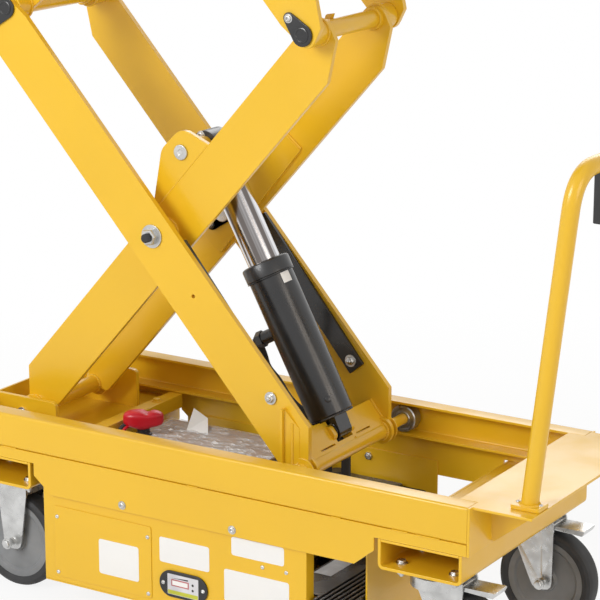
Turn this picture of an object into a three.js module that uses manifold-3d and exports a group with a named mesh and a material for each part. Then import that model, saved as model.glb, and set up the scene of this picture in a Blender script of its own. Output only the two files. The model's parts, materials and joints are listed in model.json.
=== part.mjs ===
// Double scissor lift table on castors, raised to full height.
// Units are millimetres, +Z is up, +X points to the handle end and -Y to the panel side.
// Each mesh is one separate piece. Pieces that touch keep a gap of `fit`.
import * as THREE from 'three';
import { mergeVertices } from 'three/addons/utils/BufferGeometryUtils.js';
import Module from 'manifold-3d';

const wasm = await Module();
wasm.setup();

// ---- driving dimensions -------------------------------------------------------------------
const fit = 0.3;                 // gap between pieces that touch
const play = 0.4;                // radial gap of a shaft in its bore
const frameLength = 1160;        // base rails, end to end
const frameWidth = 520;          // over the rails
const railTop = 389;             // above the floor
const rollerHeadroom = 2.7;      // above the rollers, inside the rails
const railFlange = 38;
const railWall = 5;
const skirtBottom = 237;
const skirtWall = 6;
const foldAngle = 50.6;          // arms from the horizontal, degrees
const armLength = 1072;          // pin to pin
const hingeFromEnd = 74;         // fixed hinge pins from the rear end of the rails
const armWidth = 104;
const armWall = 12;
const innerArmFace = 106;        // outer face of an inner arm, from the middle plane
const outerArmFace = 157;        // outer face of an outer arm, from the middle plane
const lowPinDrop = 17;           // hinge and roller pins lie this far below the bar's middle
const midPinRise = 26;           // joints between the two scissors lie this far above it
const armEndReach = 13;          // upright end cut of a bar, past its pin
const rollerRadius = 28.5;
const rollerWidth = 26;
const tubeRadius = 17;           // cross tubes
const bossRadius = 25;
const pinRadius = 12;
const wheelRadius = 100;
const wheelWidth = 46;
const castorFromEnd = 95;        // castor centres from the ends of the rails
const castorFromSide = 74;       // castor centres from the sides of the frame
const castorPlate = { length: 140, width: 110, thickness: 6 };
const castorTrail = 45;
const channel = { width: 172, height: 58, wall: 6 };
const shelfReach = 122;          // handle shelf, past the rails
const platformPast = { rear: 10, front: 30 };   // platform, past the ends of the rails
const platformWall = 5;
const barrelRadius = 45;
const rodRadius = 33;
const boxFront = 243;            // right end of the power box
const boxRear = -372;            // left end of the power box
const boxBottom = 54;
const boxWall = 3;
const panelTop = 268;
const handleTop = 1000;
const handleLean = 70;

// ---- derived places -----------------------------------------------------------------------
const deg = Math.PI / 180;
const fold = foldAngle * deg;
const halfLength = frameLength / 2;
const halfWidth = frameWidth / 2;
const halfArm = armLength / 2;
const railHeight = 2 * (railWall + rollerRadius) + fit + rollerHeadroom;
const railBottom = railTop - railHeight;
const railFloor = railBottom + railWall;
const pinHeight = railFloor + fit + rollerRadius;
const hingeX = -halfLength + hingeFromEnd;
const endX = hingeX + armLength * Math.cos(fold);
const centreX = (hingeX + endX) / 2;
const halfRise = halfArm * Math.sin(fold);
const lowerCentre = pinHeight + halfRise;
const midHeight = pinHeight + 2 * halfRise;
const upperCentre = pinHeight + 3 * halfRise;
const topPin = pinHeight + 4 * halfRise;
const platformTop = topPin + rollerRadius + fit + platformWall;
const innerArmBack = innerArmFace - armWall;
const outerArmBack = outerArmFace - armWall;
const webInner = halfWidth - railWall;
const channelBottom = skirtBottom + 1;
const castorX = halfLength - castorFromEnd;
const castorY = halfWidth - castorFromSide;
const sides = { near: -1, far: 1 };

// ---- materials ----------------------------------------------------------------------------
const finish = (color, roughness, metalness) =>
  new THREE.MeshStandardMaterial({ color, roughness, metalness });
const yellow = finish('#edc137', 0.35, 0);
const black = finish('#1c1c1e', 0.4, 0);
const chrome = finish('#d8dadd', 0.08, 1);
const zinc = finish('#b9bbbd', 0.35, 1);
const steel = finish('#9b9da0', 0.45, 1);
const rubber = finish('#2a2a2c', 0.85, 0);
const red = finish('#c8142c', 0.45, 0);
const green = finish('#2f9e44', 0.45, 0);
const greyPlastic = finish('#8d9096', 0.5, 0);

// ---- solids -------------------------------------------------------------------------------
// Turns a three.js geometry into a closed solid.
function solid(geometry) {
  const bare = geometry.index ? geometry.toNonIndexed() : geometry.clone();
  bare.deleteAttribute('normal');
  bare.deleteAttribute('uv');
  const merged = mergeVertices(bare, 1e-4);
  return new wasm.Manifold(new wasm.Mesh({
    numProp: 3,
    vertProperties: new Float32Array(merged.attributes.position.array),
    triVerts: new Uint32Array(merged.index.array),
  }));
}

function geometryOf(body) {
  const mesh = body.getMesh();
  const geometry = new THREE.BufferGeometry();
  geometry.setAttribute('position', new THREE.BufferAttribute(mesh.vertProperties, 3));
  geometry.setIndex(new THREE.BufferAttribute(mesh.triVerts, 1));
  return geometry;
}

const join = (...bodies) => bodies.reduce((all, body) => all.add(body));
const cut = (body, ...tools) => tools.reduce((rest, tool) => rest.subtract(tool), body);

// A block between two corners.
function block(x, y, z) {
  const size = [x, y, z].map(([low, high]) => high - low);
  const middle = [x, y, z].map(([low, high]) => (low + high) / 2);
  return solid(new THREE.BoxGeometry(...size).translate(...middle));
}

// A round bar along Y between two distances, centred on (x, z).
function barY(x, z, radius, from, to, segments = 16) {
  const geometry = new THREE.CylinderGeometry(radius, radius, Math.abs(to - from), segments);
  return solid(geometry.translate(x, (from + to) / 2, z));
}

// A round bar along Z.
function barZ(x, y, radius, from, to, segments = 20) {
  const geometry = new THREE.CylinderGeometry(radius, radius, to - from, segments);
  return solid(geometry.rotateX(Math.PI / 2).translate(x, y, (from + to) / 2));
}

// An outline pushed out along its own Z.
function pushed(shape, depth) {
  return new THREE.ExtrudeGeometry(shape, { depth, bevelEnabled: false, curveSegments: 3 });
}

// A flat outline drawn in X and Z, given a thickness along Y.
function plateXZ(shape, from, to) {
  const low = Math.min(from, to);
  const high = Math.max(from, to);
  const geometry = pushed(shape, high - low);
  return solid(geometry.rotateX(Math.PI / 2).translate(0, high, 0));
}

// A flat outline drawn in Y and Z, given a length along X.
function plateYZ(shape, from, to) {
  const geometry = pushed(shape, to - from).rotateX(Math.PI / 2).rotateZ(Math.PI / 2);
  return solid(geometry.translate(from, 0, 0));
}

// A flat outline drawn in X and Y, given a thickness along Z.
function plateXY(shape, from, to) {
  return solid(pushed(shape, to - from).translate(0, 0, from));
}

// A closed outline from corner points.
const outline = (points) => new THREE.Shape(points.map(([x, y]) => new THREE.Vector2(x, y)));

// An outline with rounded corners. Each point may carry its own radius.
function rounded(points, radius) {
  const shape = new THREE.Shape();
  const count = points.length;
  points.forEach(([x, y, own], i) => {
    const corner = new THREE.Vector2(x, y);
    const before = new THREE.Vector2(...points[(i + count - 1) % count].slice(0, 2));
    const after = new THREE.Vector2(...points[(i + 1) % count].slice(0, 2));
    const toBefore = before.clone().sub(corner);
    const toAfter = after.clone().sub(corner);
    const half = Math.abs(toBefore.angleTo(toAfter)) / 2;
    const reach = Math.min((own ?? radius) / Math.tan(half), toBefore.length() / 2, toAfter.length() / 2);
    const start = corner.clone().addScaledVector(toBefore.normalize(), reach);
    const end = corner.clone().addScaledVector(toAfter.normalize(), reach);
    if (i === 0) shape.moveTo(start.x, start.y);
    else shape.lineTo(start.x, start.y);
    if (reach > 0.01) shape.quadraticCurveTo(corner.x, corner.y, end.x, end.y);
  });
  shape.closePath();
  return shape;
}

function box2(x0, x1, y0, y1) {
  return [[x0, y0], [x1, y0], [x1, y1], [x0, y1]];
}

const table = new THREE.Group();

// Adds a named piece to a group.
function piece(group, name, body, material) {
  const mesh = new THREE.Mesh(geometryOf(body), material);
  mesh.name = name;
  group.add(mesh);
  return mesh;
}

// A group placed at a point and turned about Y, for pieces drawn in their own frame.
function placed(parent, x, y, z, turn = 0) {
  const group = new THREE.Group();
  group.position.set(x, y, z);
  group.rotation.y = turn;
  parent.add(group);
  return group;
}

// ---- base frame ---------------------------------------------------------------------------
// Channel rails, open towards the middle, in which the lower rollers run.
function rail(side) {
  const out = side * halfWidth;
  const web = side * webInner;
  const lip = side * (halfWidth - railFlange);
  const shape = outline([
    [out, railBottom], [out, railTop], [lip, railTop], [lip, railTop - railWall],
    [web, railTop - railWall], [web, railFloor], [lip, railFloor], [lip, railBottom],
  ]);
  return plateYZ(side > 0 ? shape : mirrored(shape), -halfLength, halfLength);
}

// The same outline with its points in the other order.
function mirrored(shape) {
  return new THREE.Shape(shape.getPoints().reverse());
}

const skirtTop = railBottom - fit;
const stripBottom = channelBottom + channel.height + fit;
const skirtSlope = 34;
const channelFront = castorX - channel.width / 2;
const skirtBolt = { places: [-174, 82], z: 250, radius: 8.5, height: 5 };

// Side plates under the rails, with the heads of the bolts that hold the power box. They
// narrow to a strip over the castor channels.
function skirt(side) {
  const end = channelFront - fit - 8;
  const half = [
    [halfLength, stripBottom], [end, stripBottom], [end, skirtBottom + skirtSlope],
    [end - skirtSlope - 8, skirtBottom],
  ];
  const points = [
    [-halfLength, skirtTop], [halfLength, skirtTop], ...half,
    ...half.slice().reverse().map(([x, z]) => [-x, z]),
  ];
  const { places, z, radius, height } = skirtBolt;
  const heads = places.map((x) =>
    barY(x, z, radius, side * (halfWidth - 1), side * (halfWidth + height), 12));
  return join(plateXZ(outline(points), side * (halfWidth - skirtWall), side * halfWidth), ...heads);
}

// Folded channels across the frame, with the castors bolted below.
function castorChannel(end) {
  const middle = end * castorX;
  const { width, height, wall } = channel;
  const top = channelBottom + height;
  const half = width / 2;
  const outer = rounded([
    [middle - half, top, 0], [middle - half, channelBottom, 14],
    [middle + half, channelBottom, 14], [middle + half, top, 0],
  ], 0);
  const inner = rounded([
    [middle - half + wall, top + 1, 0], [middle - half + wall, channelBottom + wall, 8],
    [middle + half - wall, channelBottom + wall, 8], [middle + half - wall, top + 1, 0],
  ], 0);
  const reach = halfWidth;
  const body = cut(plateXZ(outer, -reach, reach), plateXZ(inner, -reach - 1, reach + 1));
  const lid = block([middle - half, middle + half], [-reach, reach], [top - 5, top]);
  const bolts = castorBolts(middle, channelBottom - 5, channelBottom + wall + 5, castorBoltRadius + play);
  return cut(join(body, lid), ...bolts);
}

const castorBoltRadius = 5;
const boltSpacing = { x: 110, y: 80 };

function castorBolts(middle, from, to, radius) {
  const holes = [];
  for (const side of [-1, 1]) {
    for (const dx of [-1, 1]) {
      for (const dy of [-1, 1]) {
        const x = middle + dx * boltSpacing.x / 2;
        const y = side * castorY + dy * boltSpacing.y / 2;
        holes.push(barZ(x, y, radius, from, to, 8));
      }
    }
  }
  return holes;
}

// Plates that close the ends of the frame.
const endPlateWall = 5;
const lipInner = halfWidth - railFlange - fit;

const shelf = { inside: 35, halfWidth: 250, wall: 5, gussetY: 170, gussetWall: 8 };

// Front end plate over the rail ends, with the shelf that carries the handle.
function handleShelf() {
  const face = halfLength;
  const end = face + shelfReach;
  const thick = [railTop - shelf.wall, railTop];
  const plate = block([face + fit, face + fit + endPlateWall], [-halfWidth, halfWidth],
    [stripBottom, railTop]);
  const inside = block([face - shelf.inside, face + 1], [-lipInner, lipInner], thick);
  const outside = block([face + fit, end], [-shelf.halfWidth, shelf.halfWidth], thick);
  const gusset = outline([
    [face + 1, railTop - 1], [face + 1, stripBottom + 6], [face + 12, stripBottom + 6],
    [end - 10, railTop - 8], [end - 10, railTop - 1],
  ]);
  const half = shelf.gussetWall / 2;
  const gussets = [-shelf.gussetY, 0, shelf.gussetY].map((y) => plateXZ(gusset, y - half, y + half));
  return join(plate, inside, outside, ...gussets);
}

const bracketFace = { inner: 134, outer: 144 };
const bossEnd = bracketFace.inner - fit;
const bracketReach = 84;         // upright brackets, past the hinge pins
const beamFromHinge = 110;
const beamWidth = 32;

// Rear end plate, floor plate, battery beam and the two upright hinge brackets with their
// welded pins.
function hingeBracket() {
  const face = -halfLength;
  const plate = block([face, face + endPlateWall], [-lipInner, lipInner], [stripBottom, railTop - 4]);
  const floor = block([face, hingeX + beamFromHinge], [-lipInner, lipInner],
    [stripBottom, stripBottom + 6]);
  const parts = [plate, floor];
  const earEnd = hingeX + bracketReach;
  for (const side of [-1, 1]) {
    const ear = rounded([
      [face + 1, stripBottom + 1, 0], [earEnd, stripBottom + 1, 0],
      [earEnd, railTop - 4, 12], [face + 1, railTop - 4, 4],
    ], 0);
    parts.push(plateXZ(ear, side * bracketFace.inner, side * bracketFace.outer));
  }
  const beam = hingeX + beamFromHinge;
  parts.push(block([beam - 1, beam - 1 + beamWidth], [-lipInner, lipInner],
    [stripBottom - 8, railBottom - fit]));
  const pins = [-1, 1].map((side) =>
    barY(hingeX, pinHeight, pinRadius, side * (bossEnd - boreDepth + 3), side * (bracketFace.outer + 4)));
  return join(...parts, ...pins);
}

// ---- power box ----------------------------------------------------------------------------
const panelOuter = halfWidth - skirtWall - fit;

// Near panel with a folded flange at its front end.
function nearPanel() {
  const y = -panelOuter;
  const face = block([boxRear, boxFront], [y, y + boxWall], [boxBottom + boxWall + fit, panelTop]);
  const flange = rounded([
    [y + 1, boxBottom + boxWall + 12, 0], [y + 27, boxBottom + boxWall + 30, 6],
    [y + 27, panelTop - 20, 6], [y + 1, panelTop - 4, 0],
  ], 6);
  return join(face, plateYZ(mirroredIfNeeded(flange), boxFront - boxWall, boxFront));
}

function mirroredIfNeeded(shape) {
  return THREE.ShapeUtils.isClockWise(shape.getPoints()) ? mirrored(shape) : shape;
}

// Folded pan: the floor of the box with its far side, and low turn-ups at both ends.
function boxPan() {
  const pan = block([boxRear, boxFront], [-panelOuter, panelOuter], [boxBottom, boxBottom + boxWall]);
  const farSide = block([boxRear, boxFront], [panelOuter - boxWall, panelOuter], [boxBottom, panelTop]);
  const rearRise = block([boxRear, boxRear + boxWall],
    [-panelOuter + boxWall + fit, panelOuter], [boxBottom, boxBottom + 90]);
  const frontRise = block([boxFront - boxWall, boxFront],
    [-panelOuter + 30, panelOuter], [boxBottom, boxBottom + 60]);
  return join(pan, farSide, rearRise, frontRise);
}

const cover = { rear: -345, front: -110, bottom: 68, top: 216 };

function serviceCover() {
  const shape = rounded(box2(cover.rear, cover.front, cover.bottom, cover.top), 6);
  return plateXZ(shape, -panelOuter - fit - 1.5, -panelOuter - fit);
}

const gauge = { x: -34, z: 110, length: 112, height: 54, depth: 5 };

// Long round-ended bezel of the battery gauge.
function gaugeBezel() {
  const halfRound = gauge.height / 2;
  const shape = new THREE.Shape();
  shape.absarc(gauge.x + gauge.length / 2 - halfRound, gauge.z, halfRound, -Math.PI / 2, Math.PI / 2);
  shape.absarc(gauge.x - gauge.length / 2 + halfRound, gauge.z, halfRound, Math.PI / 2, Math.PI * 1.5);
  const back = -panelOuter - fit;
  return plateXZ(shape, back - gauge.depth, back);
}

const battery = { rear: -345, front: -12, near: -70, far: 150, top: 290 };

function batteryBlock() {
  const { rear, front, near, far, top } = battery;
  const shape = rounded(box2(rear, front, near, far), 8);
  return plateXY(shape, boxBottom + boxWall + fit, top);
}

const boot = { fromRear: 26, fromNear: 85, length: 84, width: 46, turn: 32, neck: 14, rise: 22, height: 33 };

// Soft red boot over the battery terminal and its cable lug, on the neck of the terminal.
function terminalCover() {
  const x = battery.rear + boot.fromRear;
  const y = battery.near + boot.fromNear;
  const seat = battery.top + fit;
  const bottom = battery.top + boot.rise;
  const shape = rounded(box2(-boot.length / 2, boot.length / 2, -boot.width / 2, boot.width / 2), 16);
  const head = plateXY(shape, bottom, bottom + boot.height).rotate([0, 0, boot.turn]).translate([x, y, 0]);
  return join(head, barZ(x, y, boot.neck, seat, bottom + 1, 16));
}

const pump = { x: 62, y: 40, motorRadius: 57, motorLength: 150, z: 150 };

// Electric motor of the pump, lying crosswise on its foot, with the valve block on its end.
function pumpUnit() {
  const near = pump.y - pump.motorLength;
  const body = barY(pump.x, pump.z, pump.motorRadius, near, pump.y, 20);
  const stand = block([pump.x - 34, pump.x + 34], [near + 15, pump.y - 15],
    [boxBottom + boxWall + fit, pump.z - 30]);
  const y = pump.y - 1;
  const valves = block([pump.x - 48, pump.x + 48], [y, y + 50], [pump.z - 50, pump.z + 62]);
  const solenoid = barZ(pump.x - 22, y + 25, 17, pump.z + 61, pump.z + 106, 16);
  const grip = hose.radius + 4;
  const port = barZ(hose.x, hose.pumpY, grip, pump.z + 61, pump.z + 74, 6);
  const portTop = hose.endZ - fit;
  const returnPort = block([pump.x + 47, hose.farX + grip], [hose.pumpY - grip, hose.pumpY + grip],
    [portTop - hose.portHeight, portTop]);
  return join(body, stand, valves, solenoid, port, returnPort);
}

function oilTank() {
  const y = pump.y + 49 + fit;
  const shape = rounded(box2(pump.x - 62, pump.x + 110, y, panelOuter - boxWall - 8), 10);
  return plateXY(shape, boxBottom + boxWall + fit, 222);
}

const hose = { x: 94, pumpY: 66, radius: 10, rise: 348, farX: 137, endZ: 225, portHeight: 35 };

// Pressure hose: up from the valve block, over, and down to the return port beside it.
function hydraulicHose() {
  const start = pump.z + 74 + fit;
  const reach = (hose.farX - hose.x) / 2;
  const path = new THREE.CurvePath();
  const at = (x, z) => new THREE.Vector3(x, hose.pumpY, z);
  const shoulder = hose.rise - reach;
  path.add(new THREE.LineCurve3(at(hose.x, start), at(hose.x, shoulder)));
  const bow = reach * 0.5523;
  path.add(new THREE.CubicBezierCurve3(at(hose.x, shoulder), at(hose.x, shoulder + bow),
    at(hose.x + reach - bow, hose.rise), at(hose.x + reach, hose.rise)));
  path.add(new THREE.CubicBezierCurve3(at(hose.x + reach, hose.rise),
    at(hose.farX - reach + bow, hose.rise), at(hose.farX, shoulder + bow), at(hose.farX, shoulder)));
  path.add(new THREE.LineCurve3(at(hose.farX, shoulder), at(hose.farX, hose.endZ)));
  const ring = new THREE.Shape();
  ring.absarc(0, 0, hose.radius, 0, 2 * Math.PI);
  return solid(new THREE.ExtrudeGeometry(ring, { extrudePath: path, steps: 20, curveSegments: 4 }));
}

const charger = { rear: 250, front: 330, near: -246, far: 120, bottom: 66, top: 143 };

// Finned case of the battery charger, hung below the side plate on its bracket.
function chargerCase() {
  const { rear, front, near, far, bottom, top } = charger;
  const fins = 6;
  const pitch = (front - rear) / fins;
  const body = block([rear, front], [near, far], [bottom + 16, top - 10]);
  const ribs = [];
  for (let i = 0; i < fins; i += 1) {
    const x = rear + (i + 0.5) * pitch;
    ribs.push(block([x - pitch / 4, x + pitch / 4], [near, far], [bottom, top]));
  }
  return join(body, ...ribs);
}

const tray = { wall: 4, fromNear: 61, top: 250 };

// Folded tray that carries the charger on the front of the box, ahead of the castors.
function chargerBracket() {
  const { wall } = tray;
  const rear = boxFront + fit;
  const front = charger.front + fit + wall;
  const across = [charger.near + tray.fromNear, charger.far];
  const shelfTop = charger.bottom - fit;
  const shelfPlate = block([rear, front], across, [shelfTop - wall, shelfTop]);
  const upright = block([front - wall, front], across, [shelfTop - wall, tray.top]);
  const back = block([rear, rear + wall], across, [shelfTop - wall, shelfTop + 2 * wall]);
  return join(shelfPlate, upright, back);
}

function buildBase() {
  const base = new THREE.Group();
  table.add(base);
  for (const [label, side] of Object.entries(sides)) {
    piece(base, `rail_${label}`, rail(side), yellow);
    piece(base, `side_skirt_${label}`, skirt(side), yellow);
  }
  piece(base, 'castor_channel_front', castorChannel(1), yellow);
  piece(base, 'castor_channel_rear', castorChannel(-1), yellow);
  piece(base, 'handle_shelf', handleShelf(), yellow);
  piece(base, 'hinge_bracket', hingeBracket(), yellow);
  piece(base, 'near_panel', nearPanel(), yellow);
  piece(base, 'box_pan', boxPan(), yellow);
  piece(base, 'service_cover', serviceCover(), yellow);
  piece(base, 'gauge_bezel', gaugeBezel(), black);
  piece(base, 'battery', batteryBlock(), greyPlastic);
  piece(base, 'terminal_cover', terminalCover(), red);
  piece(base, 'pump_unit', pumpUnit(), black);
  piece(base, 'oil_tank', oilTank(), black);
  piece(base, 'hydraulic_hose', hydraulicHose(), rubber);
  piece(base, 'charger', chargerCase(), black);
  piece(base, 'charger_bracket', chargerBracket(), yellow);
}

// ---- castors ------------------------------------------------------------------------------
const forkInner = wheelWidth / 2 + 4;
const forkWall = 4;
const headRadius = 52;
const headBottom = 2 * wheelRadius + 4;
const plateTop = channelBottom - fit;
const raceBottom = plateTop - castorPlate.thickness - 6;
const axleRadius = 8;
const pedal = { reach: 58, height: 213, hub: 6, length: 66, drop: 3 };

// A round bar along X.
function barX(y, z, radius, from, to, segments = 14) {
  const geometry = new THREE.CylinderGeometry(radius, radius, to - from, segments).rotateZ(Math.PI / 2);
  return solid(geometry.translate((from + to) / 2, y, z));
}

// Top plate of a castor, drawn round the swivel axis.
function castorTopPlate() {
  const { length, width, thickness } = castorPlate;
  const shape = rounded(box2(-length / 2, length / 2, -width / 2, width / 2), 10);
  const plate = plateXY(shape, plateTop - thickness, plateTop);
  const holes = [];
  for (const dx of [-1, 1]) {
    for (const dy of [-1, 1]) {
      holes.push(barZ(dx * boltSpacing.x / 2, dy * boltSpacing.y / 2, castorBoltRadius + play,
        plateTop - thickness - 1, plateTop + 1, 8));
    }
  }
  return cut(plate, ...holes);
}

// Two legs and the axle between them. The wheel axle is set back by the trail.
function forkLegs(trail, top, reach) {
  const side = rounded([
    [-38, top, 8], [reach, top, 8], [Math.max(reach, trail + 20), top - 30, 10],
    [trail + 20, wheelRadius - 16, 18], [trail - 20, wheelRadius - 16, 18],
  ], 8);
  const legs = [-1, 1].map((end) => plateXZ(side, end * forkInner, end * (forkInner + forkWall)));
  const axleEnd = forkInner + forkWall + 6;
  const axle = barY(trail, wheelRadius, axleRadius, -axleEnd, axleEnd, 16);
  return [...legs, axle];
}

function swivelPlate() {
  const race = barZ(0, 0, headRadius - 4, raceBottom, plateTop - castorPlate.thickness + 0.5, 20);
  return join(castorTopPlate(), race);
}

function swivelFork() {
  const headTop = raceBottom - fit;
  const head = barZ(0, 0, headRadius, headBottom, headTop, 20);
  return join(head, ...forkLegs(castorTrail, headTop, pedal.reach + 8));
}

function fixedFork() {
  const top = plateTop - castorPlate.thickness;
  const bridge = block([-38, 38], [-forkInner - 1, forkInner + 1], [headBottom, top + 0.5]);
  return join(castorTopPlate(), bridge, ...forkLegs(0, top + 0.5, 38));
}

// Wheel with a rounded tread, a dished web and a hub that runs on the axle.
function castorWheel() {
  const half = wheelWidth / 2;
  const bore = axleRadius + play;
  const hub = half + 3.6;
  const profile = [
    [bore, -hub], [24, -hub], [30, -half + 8], [64, -half + 8], [68, -half], [88, -half],
    [wheelRadius, -half + 14], [wheelRadius, half - 14], [88, half], [68, half], [64, half - 8],
    [30, half - 8], [24, hub], [bore, hub], [bore, -hub],
  ];
  const lathe = new THREE.LatheGeometry(profile.map(([r, y]) => new THREE.Vector2(r, y)), 22);
  return solid(lathe);
}

// Foot lever of the wheel brake, hinged between the legs.
function brakePedal() {
  const { reach, height, hub, length, drop } = pedal;
  const shape = rounded([
    [reach - 4, height - 4, 1], [reach + length, height - 4 - drop, 2],
    [reach + length + 6, height + 4, 3], [reach - 4, height + 3, 2],
  ], 2);
  const lever = plateXZ(shape, -forkInner + 3, forkInner - 3);
  return join(lever, barY(reach, height, hub, -forkInner + fit, forkInner - fit, 16));
}

function buildCastors() {
  for (const [label, side] of Object.entries(sides)) {
    const front = placed(table, castorX, side * castorY, 0);
    piece(front, `castor_plate_${label}`, swivelPlate(), zinc);
    piece(front, `castor_fork_${label}`, swivelFork(), zinc);
    piece(front, `brake_pedal_${label}`, brakePedal(), zinc);
    const frontAxle = placed(front, castorTrail, 0, wheelRadius);
    piece(frontAxle, `front_wheel_${label}`, castorWheel(), rubber);
    const rear = placed(table, -castorX, side * castorY, 0);
    piece(rear, `fixed_fork_${label}`, fixedFork(), zinc);
    const rearAxle = placed(rear, 0, 0, wheelRadius);
    piece(rearAxle, `rear_wheel_${label}`, castorWheel(), rubber);
  }
}

// ---- scissor arms -------------------------------------------------------------------------
// Every arm is drawn in a frame whose X runs from pin to pin through the centre pivot.
// lowEnd is +1 or -1, the end whose pin is a hinge or roller pin. The other end meets the
// second scissor.
const barTilt = (lowPinDrop + midPinRise) / armLength;
const barMiddle = (x) => lowPinDrop + (x - halfArm) * barTilt;

// Outline of a bar whose hinge or roller pin is at +X.
function barShape(lowEnd) {
  const s = Math.sin(fold);
  const c = Math.cos(fold);
  const half = armWidth / 2;
  const up = (lowPinDrop + half + armEndReach * (barTilt * c - s)) / (c + barTilt * s);
  const low = (rise) => [halfArm + armEndReach * c - rise * s, armEndReach * s + rise * c];
  const [topX, topZ] = low(up);
  const [pinSideX, pinSideZ] = low(2);
  const mid = (out, rise) => [-halfArm - out * c - rise * s, -out * s + rise * c];
  const edge = (x, side) => [x, barMiddle(x) + side * half];
  const footX = -halfArm + 60;
  const points = [
    [topX, topZ, 3], [pinSideX, pinSideZ, 4], [...edge(halfArm - 12, -1), 14],
    [...edge(footX, -1), 4], [...mid(38, -14), 6], [...mid(14, 34), 22],
    [...edge(-halfArm + 40, 1), 0],
  ];
  return rounded(points.map(([x, z, r]) => [lowEnd * x, z, r]), 0);
}

// Two bars with the given outer face.
function bars(lowEnd, face) {
  const shape = barShape(lowEnd);
  return [-1, 1].map((side) => plateXZ(shape, side * (face - armWall), side * face));
}

// Both-sided round piece along Y.
function pairY(x, z, radius, from, to, segments = 16) {
  return [-1, 1].map((side) => barY(x, z, radius, side * from, side * to, segments));
}

const boreRadius = pinRadius + play;
const jointBossEnd = outerArmBack - fit;
const boreDepth = 44;
const doubler = { rear: -70, front: 228, wall: 6 };
const doublerFace = innerArmBack - doubler.wall;
const ear = { x: 145, z: 74, radius: 37 };
const earPinRadius = 14;

// Joint that inner arms carry at the meeting of the two scissors: a cross tube with bosses.
function midTube(x) {
  const tube = barY(x, 0, tubeRadius, -innerArmFace, innerArmFace);
  const bosses = pairY(x, 0, bossRadius, innerArmBack + 1, jointBossEnd);
  return [tube, ...bosses];
}

function midBores(x) {
  return pairY(x, 0, boreRadius, jointBossEnd - boreDepth, outerArmFace + 5);
}

// Bosses that hold the arms apart at the centre pivot.
function centreBosses() {
  return pairY(0, 0, bossRadius, innerArmBack + 1, jointBossEnd);
}

function earShape() {
  const { x, z, radius } = ear;
  const seat = armWidth / 2 - 22;
  return rounded([
    [x - 175, seat, 0], [x - radius + 8, z + radius, 34], [x + radius, z + radius - 6, 34],
    [x + radius + 22, seat, 0],
  ], 0);
}

// Lower inner arms: hinge tube at the rear, ears for the cylinder, joint tube at the front.
function lowerInnerArms() {
  const low = -halfArm;
  const mid = halfArm;
  const ears = [-1, 1].map((side) => plateXZ(earShape(), side * innerArmBack, side * innerArmFace));
  const plates = [-1, 1].map((side) => plateXZ(
    outline(box2(doubler.rear, doubler.front, -armWidth / 2 + 4, armWidth / 2 - 14)),
    side * doublerFace, side * (innerArmBack + 1)));
  const hinge = barY(low, 0, tubeRadius, -innerArmFace, innerArmFace);
  const hingeBosses = pairY(low, 0, bossRadius, innerArmBack + 1, bossEnd);
  const brace = barY(-halfArm / 2, -10, tubeRadius, -innerArmFace + 3, innerArmFace - 3);
  const body = join(...bars(-1, innerArmFace), ...ears, ...plates, hinge, ...hingeBosses,
    ...midTube(mid), ...centreBosses(), brace);
  return cut(body, ...midBores(mid), ...pairY(0, 0, boreRadius, doublerFace - 5, outerArmFace),
    ...pairY(low, 0, boreRadius, bossEnd - boreDepth, outerArmFace),
    ...pairY(ear.x, ear.z, earPinRadius + play, doublerFace - 5, innerArmFace + 5));
}

// Upper inner arms: joint tube at the rear end, roller axle at the front end.
function upperInnerArms() {
  const low = halfArm;
  const mid = -halfArm;
  const axle = barY(low, 0, axleStub, -rollerEnd, rollerEnd);
  const tube = barY(low, 0, tubeRadius, -innerArmFace - 30, innerArmFace + 30);
  const bosses = pairY(low, 0, bossRadius, innerArmBack - 8, innerArmFace + 8);
  const body = join(...bars(1, innerArmFace).map((bar) => bar.mirror([0, 0, 1])), axle, tube, ...bosses,
    ...midTube(mid), ...centreBosses());
  return cut(body, ...midBores(mid), ...pairY(0, 0, boreRadius, innerArmBack - 5, outerArmFace));
}

const axleStub = 11;
const rollerFrom = halfWidth - railWall - 3 - rollerWidth;
const rollerEnd = rollerFrom + rollerWidth + 2;
const foot = { x: 496, z: 11.4, lug: 12, inner: 26, pinRadius: 10, eye: 15 };
const footPlate = { from: 64, to: 2, low: 6, high: 15, beside: 9 };

// Lower outer arms: roller axle at the front with its cross tube, plate and cylinder lugs.
function lowerOuterArms() {
  const low = halfArm;
  const tube = barY(low, 0, tubeRadius, -outerArmFace, outerArmFace);
  const flanges = pairY(low, 0, bossRadius + 2, outerArmBack - 9, outerArmFace + 2);
  const axle = barY(low, 0, axleStub, -rollerEnd, rollerEnd);
  const whole = block([low - footPlate.from, low - footPlate.to], [-outerArmBack - 1, outerArmBack + 1],
    [footPlate.low, footPlate.high]);
  const windowHalf = foot.inner + foot.lug + footPlate.beside;
  const window = block([foot.x - 30, foot.x + 24], [-windowHalf, windowHalf],
    [footPlate.low - 1, footPlate.high + 1]);
  const plate = cut(whole, window);
  const lugs = [-1, 1].map((side) => {
    const shape = rounded([
      [foot.x - 20, -8, 6], [foot.x - foot.eye, foot.z + foot.eye, 12],
      [foot.x + foot.eye, foot.z + foot.eye, 12], [foot.x + 28, -8, 0],
    ], 0);
    return plateXZ(shape, side * foot.inner, side * (foot.inner + foot.lug));
  });
  const stiffeners = [-1, 1].map((side) => stiffener(side));
  const body = join(...bars(1, outerArmFace), tube, ...flanges, axle, plate, ...lugs, ...stiffeners);
  return cut(body, ...pairY(0, 0, boreRadius, outerArmBack - 5, outerArmFace + 5),
    ...pairY(-halfArm, 0, boreRadius, outerArmBack - 5, outerArmFace + 5),
    ...pairY(barHinge.x, barHinge.z, barHinge.radius + play, outerArmBack - 5, outerArmFace + 5),
    barY(foot.x, foot.z, foot.pinRadius + play, -foot.inner - foot.lug - 2, foot.inner + foot.lug + 2));
}

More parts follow.
